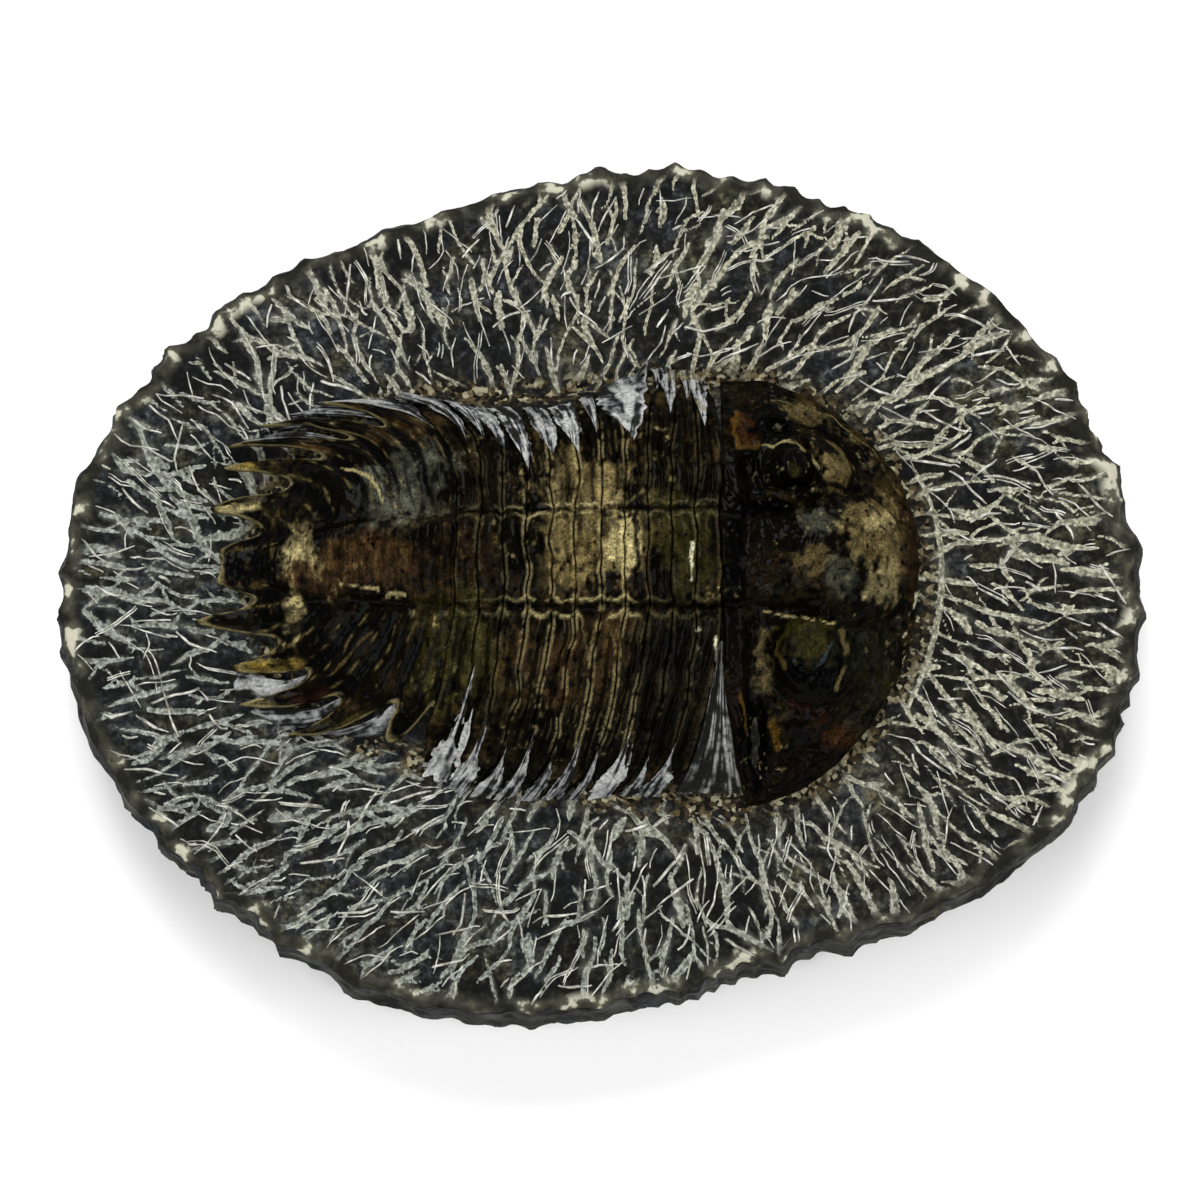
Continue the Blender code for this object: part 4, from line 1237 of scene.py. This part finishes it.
def make_tail():
    """The tail shield: a slab folded round the end of the axis, with spines at its edge."""
    bm = slab(*TAIL_GRID)
    seam = [face for face in bm.faces if all(abs(corner.co.y) < 0.5 for corner in face.verts)]
    bmesh.ops.delete(bm, geom=seam, context="FACES")
    mesh = to_mesh(bm, "tail_shield")
    column, row, on_top = slab_grid(mesh)
    half = TAIL_GRID[0] / 2
    side = np.where(column > half, 1.0, -1.0)
    start = TAIL_START + JOINT / 2 / (read(RIB_ROOTS, 11.0) - read(RIB_ROOTS, 12.0))
    n = TAIL_TIP - np.abs(column - half) / half * (TAIL_TIP - TAIL_START)
    lappet = LAPPET_LENGTH * step(*LAPPET_START, n)
    spine = np.maximum(np.abs(np.cos(pi * n)) ** SPINE_SHARPNESS, lappet)
    n = np.maximum(n, start)
    out = u = row / TAIL_GRID[1]
    length = TAIL_WAIST + (1.0 - TAIL_WAIST) * spine
    u = np.where(u > AXIS_SHARE,
                 AXIS_SHARE + (u - AXIS_SHARE) * (length - AXIS_SHARE) / (1.0 - AXIS_SHARE), u)
    x, y = wander(*rib_point(n, side, u))
    under = core(x, y)
    rib = TAIL_RIB * np.cos(tau * n) * step(*TAIL_RIB_START, u)
    rings = TAIL_RING * np.cos(2 * tau * n) * (1.0 - step(*TAIL_RING_END, u))
    edge = TAIL_EDGE_DROP * step(*TAIL_EDGE, out)
    fall = 1.0 - TAIL_FALL * step(TAIL_TIP - TAIL_FALL_LENGTH, TAIL_TIP, n)
    over = (under + GAP + SHELL + ring_rise(u) * fall + rib + rings - edge
            + shell_wear(x, y, under))
    set_points(mesh, placed(x, y, np.where(on_top, over, under - SINK)))
    colours = streaked(shell_colours(x, y, over), 2.0 * (n % 1.0), u, np.floor(n), side)
    colours = tail_colours(colours, np.cos(tau * n), u, out, rough(x, y, over, 0.8, 91, 3))
    note_colour(mesh, "stain", veined(colours, x, y, over))
    return set_down(mesh, varnished_shell(), "tail_shell", "pygidium")


# Materials


def linear(text):
    """An sRGB hex value as a linear colour."""
    parts = [int(text[i:i + 2], 16) / 255.0 for i in (1, 3, 5)]
    return [part / 12.92 if part <= 0.04045 else ((part + 0.055) / 1.055) ** 2.4 for part in parts]


def paint(text):
    """An sRGB hex value as a socket's colour."""
    return (*linear(text), 1.0)


def add(tree, kind, links=None, out=None, stops=None, **settings):
    """Add a node with its settings, its inputs' values or links, and a ramp's stops."""
    made = tree.nodes.new(kind)
    for name, value in settings.items():
        setattr(made, name, value)
    for name, value in (links or {}).items():
        if isinstance(name, int):
            socket = made.inputs[name]
        else:
            socket = next(item for item in made.inputs if item.name == name and item.enabled)
        if isinstance(value, bpy.types.NodeSocket):
            tree.links.new(value, socket)
        else:
            socket.default_value = value
    if stops:
        ramp = made.color_ramp.elements
        while len(ramp) < len(stops):
            ramp.new(0.5)
        for element, (place, colour) in zip(ramp, stops):
            element.position = place
            element.color = paint(colour)
    return next(item for item in made.outputs if item.enabled and (out is None or item.name == out))


def new_finish(name, roughness, coat=0.0, coat_roughness=0.2, specular=0.5):
    """A material with its shader, and Object coordinates in millimetres for its patterns."""
    made = bpy.data.materials.new(name)
    made.use_nodes = True
    tree = made.node_tree
    shader = tree.nodes["Principled BSDF"]
    shader.inputs["Roughness"].default_value = roughness
    shader.inputs["Specular IOR Level"].default_value = specular
    shader.inputs["Coat Weight"].default_value = coat
    shader.inputs["Coat Roughness"].default_value = coat_roughness
    place = add(tree, "ShaderNodeTexCoord", out="Object")
    scaled = add(tree, "ShaderNodeVectorMath", {0: place, "Scale": 1.0 / MM}, operation="SCALE")
    return made, tree, shader, scaled


def limestone_colour(tree, place):
    """Black limestone: grey patches on near-black, bluish by the tail and olive by the head."""
    grain = add(tree, "ShaderNodeTexNoise", {"Vector": place, "Scale": 1.3, "Detail": 5.0,
                                             "Roughness": 0.7})
    broad = add(tree, "ShaderNodeTexNoise", {"Vector": place, "Scale": 0.16, "Detail": 3.0})
    lift = add(tree, "ShaderNodeMath", {0: broad, 1: 0.55, 2: -0.275}, operation="MULTIPLY_ADD")
    both = add(tree, "ShaderNodeMath", {0: grain, 1: lift}, operation="ADD")
    rock = add(tree, "ShaderNodeValToRGB", {"Fac": both},
               stops=((0.38, "#030404"), (0.50, "#0d0f11"), (0.60, "#212427"), (0.74, "#4a4d4d")))
    warm = add(tree, "ShaderNodeValToRGB", {"Fac": both},
               stops=((0.38, "#040402"), (0.50, "#12110b"), (0.60, "#27261b"), (0.74, "#504d3b")))
    side = add(tree, "ShaderNodeSeparateXYZ", {0: place}, out="X")
    lean = add(tree, "ShaderNodeMapRange", {"Value": side, 1: -30.0, 2: 45.0, 3: -0.05, 4: 0.08})
    drift = add(tree, "ShaderNodeTexNoise", {"Vector": place, "Scale": 0.3, "Detail": 4.0})
    sum_ = add(tree, "ShaderNodeMath", {0: drift, 1: lean}, operation="ADD")
    amount = add(tree, "ShaderNodeMapRange", {"Value": sum_, 1: 0.38, 2: 0.62})
    return add(tree, "ShaderNodeMix", {"Factor": amount, 6: rock, 7: warm}, data_type="RGBA")


def crushed_colour(tree, place, stops):
    """Crushed limestone: pale and mottled, creamy by the head's left and greyer by the tail."""
    pale = add(tree, "ShaderNodeTexNoise", {"Vector": place, "Scale": 2.6, "Detail": 4.0})
    powder = add(tree, "ShaderNodeValToRGB", {"Fac": pale}, stops=stops)
    parts = add(tree, "ShaderNodeVectorMath", {0: place, 1: (1.0, 1.0, 0.0)}, out="Value",
                operation="DOT_PRODUCT")
    creamy = add(tree, "ShaderNodeMapRange", {"Value": parts, 1: -35.0, 2: 25.0})
    tint = add(tree, "ShaderNodeMix", {"Factor": creamy, 6: paint("#d6dfe4"), 7: paint("#fffdf2")},
               data_type="RGBA")
    return add(tree, "ShaderNodeVectorMath", {0: powder, 1: tint}, operation="MULTIPLY")


def powdered(tree, place, colour, level):
    """Faint powder that the scribe left beside its marks, in patches."""
    near = add(tree, "ShaderNodeMapRange", {"Value": level, 1: -2.2, 2: -0.3})
    patch = add(tree, "ShaderNodeTexNoise", {"Vector": place, "Scale": 0.45, "Detail": 5.0})
    where = add(tree, "ShaderNodeMapRange", {"Value": patch, 1: 0.48, 2: 0.68, 3: 0.0, 4: 0.25})
    much = add(tree, "ShaderNodeMath", {0: near, 1: where}, operation="MULTIPLY")
    return add(tree, "ShaderNodeMix", {"Factor": much, 6: colour, 7: paint(POWDER)},
               data_type="RGBA")


def rim_band(tree, place, colour):
    """The worn band along the rim: brown-grey, with pale facets where the edge flaked."""
    at_rim = add(tree, "ShaderNodeAttribute", out="Fac", attribute_name="rim")
    facets = add(tree, "ShaderNodeTexNoise", {"Vector": place, "Scale": 0.42, "Detail": 3.0})
    pale = add(tree, "ShaderNodeValToRGB", {"Fac": facets},
               stops=((0.40, "#16160f"), (0.52, "#33332b"), (0.58, "#4a493d"), (0.62, "#a9a795")))
    return add(tree, "ShaderNodeMix", {"Factor": at_rim, 6: colour, 7: pale}, data_type="RGBA")


def crumbly(tree, place, colour):
    """Brown crumbs close round the fossil, in patches: each cell of about 0.4 mm is one crumb."""
    cells = add(tree, "ShaderNodeTexVoronoi", {"Vector": place, "Scale": 2.4}, out="Color")
    shade = add(tree, "ShaderNodeSeparateXYZ", {0: cells}, out="X")
    crumb = add(tree, "ShaderNodeValToRGB", {"Fac": shade},
                stops=((0.25, "#0a0805"), (0.5, "#2c2315"), (0.75, "#544932"), (0.95, "#8f8970")))
    near = add(tree, "ShaderNodeAttribute", out="Fac", attribute_name="foot")
    patchy = add(tree, "ShaderNodeTexNoise", {"Vector": place, "Scale": 0.5, "Detail": 3.0})
    where = add(tree, "ShaderNodeMapRange", {"Value": patchy, 1: 0.42, 2: 0.5})
    much = add(tree, "ShaderNodeMath", {0: near, 1: where}, operation="MULTIPLY")
    return add(tree, "ShaderNodeMix", {"Factor": much, 6: colour, 7: crumb}, data_type="RGBA")


def scribed_limestone():
    """Black limestone under an air scribe: each mark's floor is crushed pale with a brighter
    edge, so the dark stone shows between a net of light strokes with ragged edges; the rock
    just beside each mark is darkened to half as painted shade."""
    if "scribed_limestone" in bpy.data.materials:
        return bpy.data.materials["scribed_limestone"]
    made, tree, shader, place = new_finish("scribed_limestone", 0.85, specular=0.12)
    rock = limestone_colour(tree, place)
    mark = add(tree, "ShaderNodeAttribute", out="Fac", attribute_name="mark")
    fray = add(tree, "ShaderNodeTexNoise", {"Vector": place, "Scale": 3.6, "Detail": 4.0})
    edge = add(tree, "ShaderNodeMath", {0: fray, 1: 1.5, 2: -0.75}, operation="MULTIPLY_ADD")
    level = add(tree, "ShaderNodeMath", {0: mark, 1: edge}, operation="ADD")
    # painted shade: the rock colour falls to half towards each mark's edge, standing in for the shadow
    # beside a groove
    beside = add(tree, "ShaderNodeMapRange", {"Value": level, 1: -1.6, 2: -0.4, 3: 1.0, 4: 0.5})
    shaded = add(tree, "ShaderNodeVectorMath", {0: rock, "Scale": beside}, operation="SCALE")
    floor = crushed_colour(tree, place, ((0.34, "#42423a"), (0.5, "#78776b"), (0.66, "#a5a498")))
    bright = crushed_colour(tree, place, ((0.34, "#51514a"), (0.5, "#8f8e82"), (0.66, "#c3c2b5")))
    inner = add(tree, "ShaderNodeMapRange", {"Value": level, 1: 0.15, 2: 0.55})
    powder = add(tree, "ShaderNodeMix", {"Factor": inner, 6: bright, 7: floor}, data_type="RGBA")
    inside = add(tree, "ShaderNodeMapRange", {"Value": level, 1: -0.28, 2: 0.16})
    marked = add(tree, "ShaderNodeMix", {"Factor": inside, 6: shaded, 7: powder}, data_type="RGBA")
    marked = rim_band(tree, place, powdered(tree, place, marked, level))
    tree.links.new(crumbly(tree, place, marked), shader.inputs["Base Color"])
    pits = add(tree, "ShaderNodeTexNoise", {"Vector": place, "Scale": 4.0, "Detail": 4.0})
    bump = add(tree, "ShaderNodeBump", {"Height": pits, "Strength": 0.7, "Distance": 0.12 * MM})
    tree.links.new(bump, shader.inputs["Normal"])
    return made


def broken_limestone():
    """The same limestone where it broke: dull and dark, with soft patches of dust."""
    made, tree, shader, place = new_finish("broken_limestone", 0.85, specular=0.12)
    rock = limestone_colour(tree, place)
    dust = add(tree, "ShaderNodeTexNoise", {"Vector": place, "Scale": 0.35, "Detail": 5.0})
    where = add(tree, "ShaderNodeMapRange", {"Value": dust, 1: 0.50, 2: 0.72, 3: 0.0, 4: 0.5})
    dusty = add(tree, "ShaderNodeMix", {"Factor": where, 6: rock, 7: paint(ROCK_DUST)},
                data_type="RGBA")
    tree.links.new(dusty, shader.inputs["Base Color"])
    pits = add(tree, "ShaderNodeTexNoise", {"Vector": place, "Scale": 3.0, "Detail": 5.0})
    bump = add(tree, "ShaderNodeBump", {"Height": pits, "Strength": 0.6, "Distance": 0.15 * MM})
    tree.links.new(bump, shader.inputs["Normal"])
    return made


def stained(tree, shader, place, scale, least, most, strength, depth):
    """Show a mesh's own stains, shaded and roughened by a fine grain of that many cells a mm."""
    stain = add(tree, "ShaderNodeAttribute", out="Color", attribute_name="stain")
    grain = add(tree, "ShaderNodeTexNoise", {"Vector": place, "Scale": scale, "Detail": 4.0})
    shade = add(tree, "ShaderNodeMapRange", {"Value": grain, 1: 0.3, 2: 0.7, 3: least, 4: most})
    colour = add(tree, "ShaderNodeVectorMath", {0: stain, "Scale": shade}, operation="SCALE")
    tree.links.new(colour, shader.inputs["Base Color"])
    bump = add(tree, "ShaderNodeBump", {"Height": grain, "Strength": strength, "Distance": depth * MM})
    tree.links.new(bump, shader.inputs["Normal"])


def splintered_stone():
    """Limestone scraped into splinters: dull grey-white with dark lines along the grain."""
    made, tree, shader, place = new_finish("splintered_stone", 0.8, specular=0.12)
    stained(tree, shader, place, 3.5, 0.55, 1.4, 0.6, 0.1)
    return made


def varnished_shell():
    """Calcite shell under clear varnish: brown and olive stains under a thin wet gloss."""
    if "varnished_shell" in bpy.data.materials:
        return bpy.data.materials["varnished_shell"]
    made, tree, shader, place = new_finish("varnished_shell", 0.6, 0.035, 0.07, 0.01)
    stained(tree, shader, place, 5.0, 0.35, 1.75, 0.4, 0.06)
    return made


def crushed_stone():
    """Crushed limestone powder: matt and pale, so that a scratch a tenth of a millimetre
    wide stands out as a bright line."""
    made, tree, shader, place = new_finish("crushed_stone", 0.9, specular=0.1)
    pale = add(tree, "ShaderNodeTexNoise", {"Vector": place, "Scale": 1.2, "Detail": 2.0})
    powder = add(tree, "ShaderNodeValToRGB", {"Fac": pale},
                 stops=((0.3, "#66655c"), (0.5, "#9d9c92"), (0.7, "#cbcac2")))
    tree.links.new(powder, shader.inputs["Base Color"])
    return made


# The studio


def make_camera():
    """The camera at the photograph's angle and framing."""
    camera = bpy.data.cameras.new("camera")
    camera.sensor_width = SENSOR
    camera.lens = SENSOR * CAMERA_DISTANCE / FRAME_WIDTH
    camera.clip_start = 0.01
    camera.clip_end = 100.0
    seen = bpy.data.objects.new("camera", camera)
    back = Vector((0.0, -sin(CAMERA_TILT), cos(CAMERA_TILT)))
    up = Vector((0.0, cos(CAMERA_TILT), sin(CAMERA_TILT)))
    aim = Vector((-BOX_MIDDLE[0], -BOX_MIDDLE[1], AIM_HEIGHT)) * MM
    turned = Matrix((up.cross(back), up, back)).transposed().to_4x4()
    seen.matrix_world = Matrix.Translation(aim + back * CAMERA_DISTANCE * MM) @ turned
    bpy.context.scene.collection.objects.link(seen)
    bpy.context.scene.camera = seen


def make_light(name, azimuth, elevation, watts):
    """A soft square light that faces the stone, at that azimuth and height in degrees."""
    light = bpy.data.lights.new(name, "AREA")
    light.shape = "SQUARE"
    light.size = LIGHT_SIZE
    light.energy = watts
    lamp = bpy.data.objects.new(name, light)
    a, e = radians(azimuth), radians(elevation)
    away = Vector((cos(a) * cos(e), sin(a) * cos(e), sin(e)))
    lamp.location = away * LIGHT_DISTANCE
    lamp.rotation_mode = "QUATERNION"
    lamp.rotation_quaternion = away.to_track_quat("Z", "Y")
    bpy.context.scene.collection.objects.link(lamp)


def make_studio():
    """A plain pale floor, plain soft light and the camera."""
    bm = bmesh.new()
    bmesh.ops.create_grid(bm, x_segments=1, y_segments=1, size=FLOOR_REACH)
    mesh = to_mesh(bm, "floor")
    floor = bpy.data.objects.new("floor", mesh)
    bpy.context.scene.collection.objects.link(floor)
    made = bpy.data.materials.new("pale_floor")
    made.use_nodes = True
    shader = made.node_tree.nodes["Principled BSDF"]
    shader.inputs["Base Color"].default_value = paint(FLOOR_WHITE)
    shader.inputs["Roughness"].default_value = 1.0
    shader.inputs["Specular IOR Level"].default_value = 0.0
    mesh.materials.append(made)
    world = bpy.data.worlds.new("studio")
    world.use_nodes = True
    world.node_tree.nodes["Background"].inputs["Color"].default_value = (1.0, 1.0, 1.0, 1.0)
    world.node_tree.nodes["Background"].inputs["Strength"].default_value = SKY_STRENGTH
    bpy.context.scene.world = world
    for light in LIGHTS:
        make_light(*light)
    bpy.context.scene.view_settings.view_transform = "Standard"
    make_camera()


def main():
    """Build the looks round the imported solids."""
    make_studio()
    rng = np.random.default_rng(5)
    marks = lay_marks(rng)
    out, z = make_face(marks)
    make_collar(marks)
    make_body(z[-1, ::2])
    make_hairs(out, z, rng)
    make_head()
    for n in range(1, SEGMENTS + 1):
        make_segment(n)
    make_tail()
    make_flakes()


main()
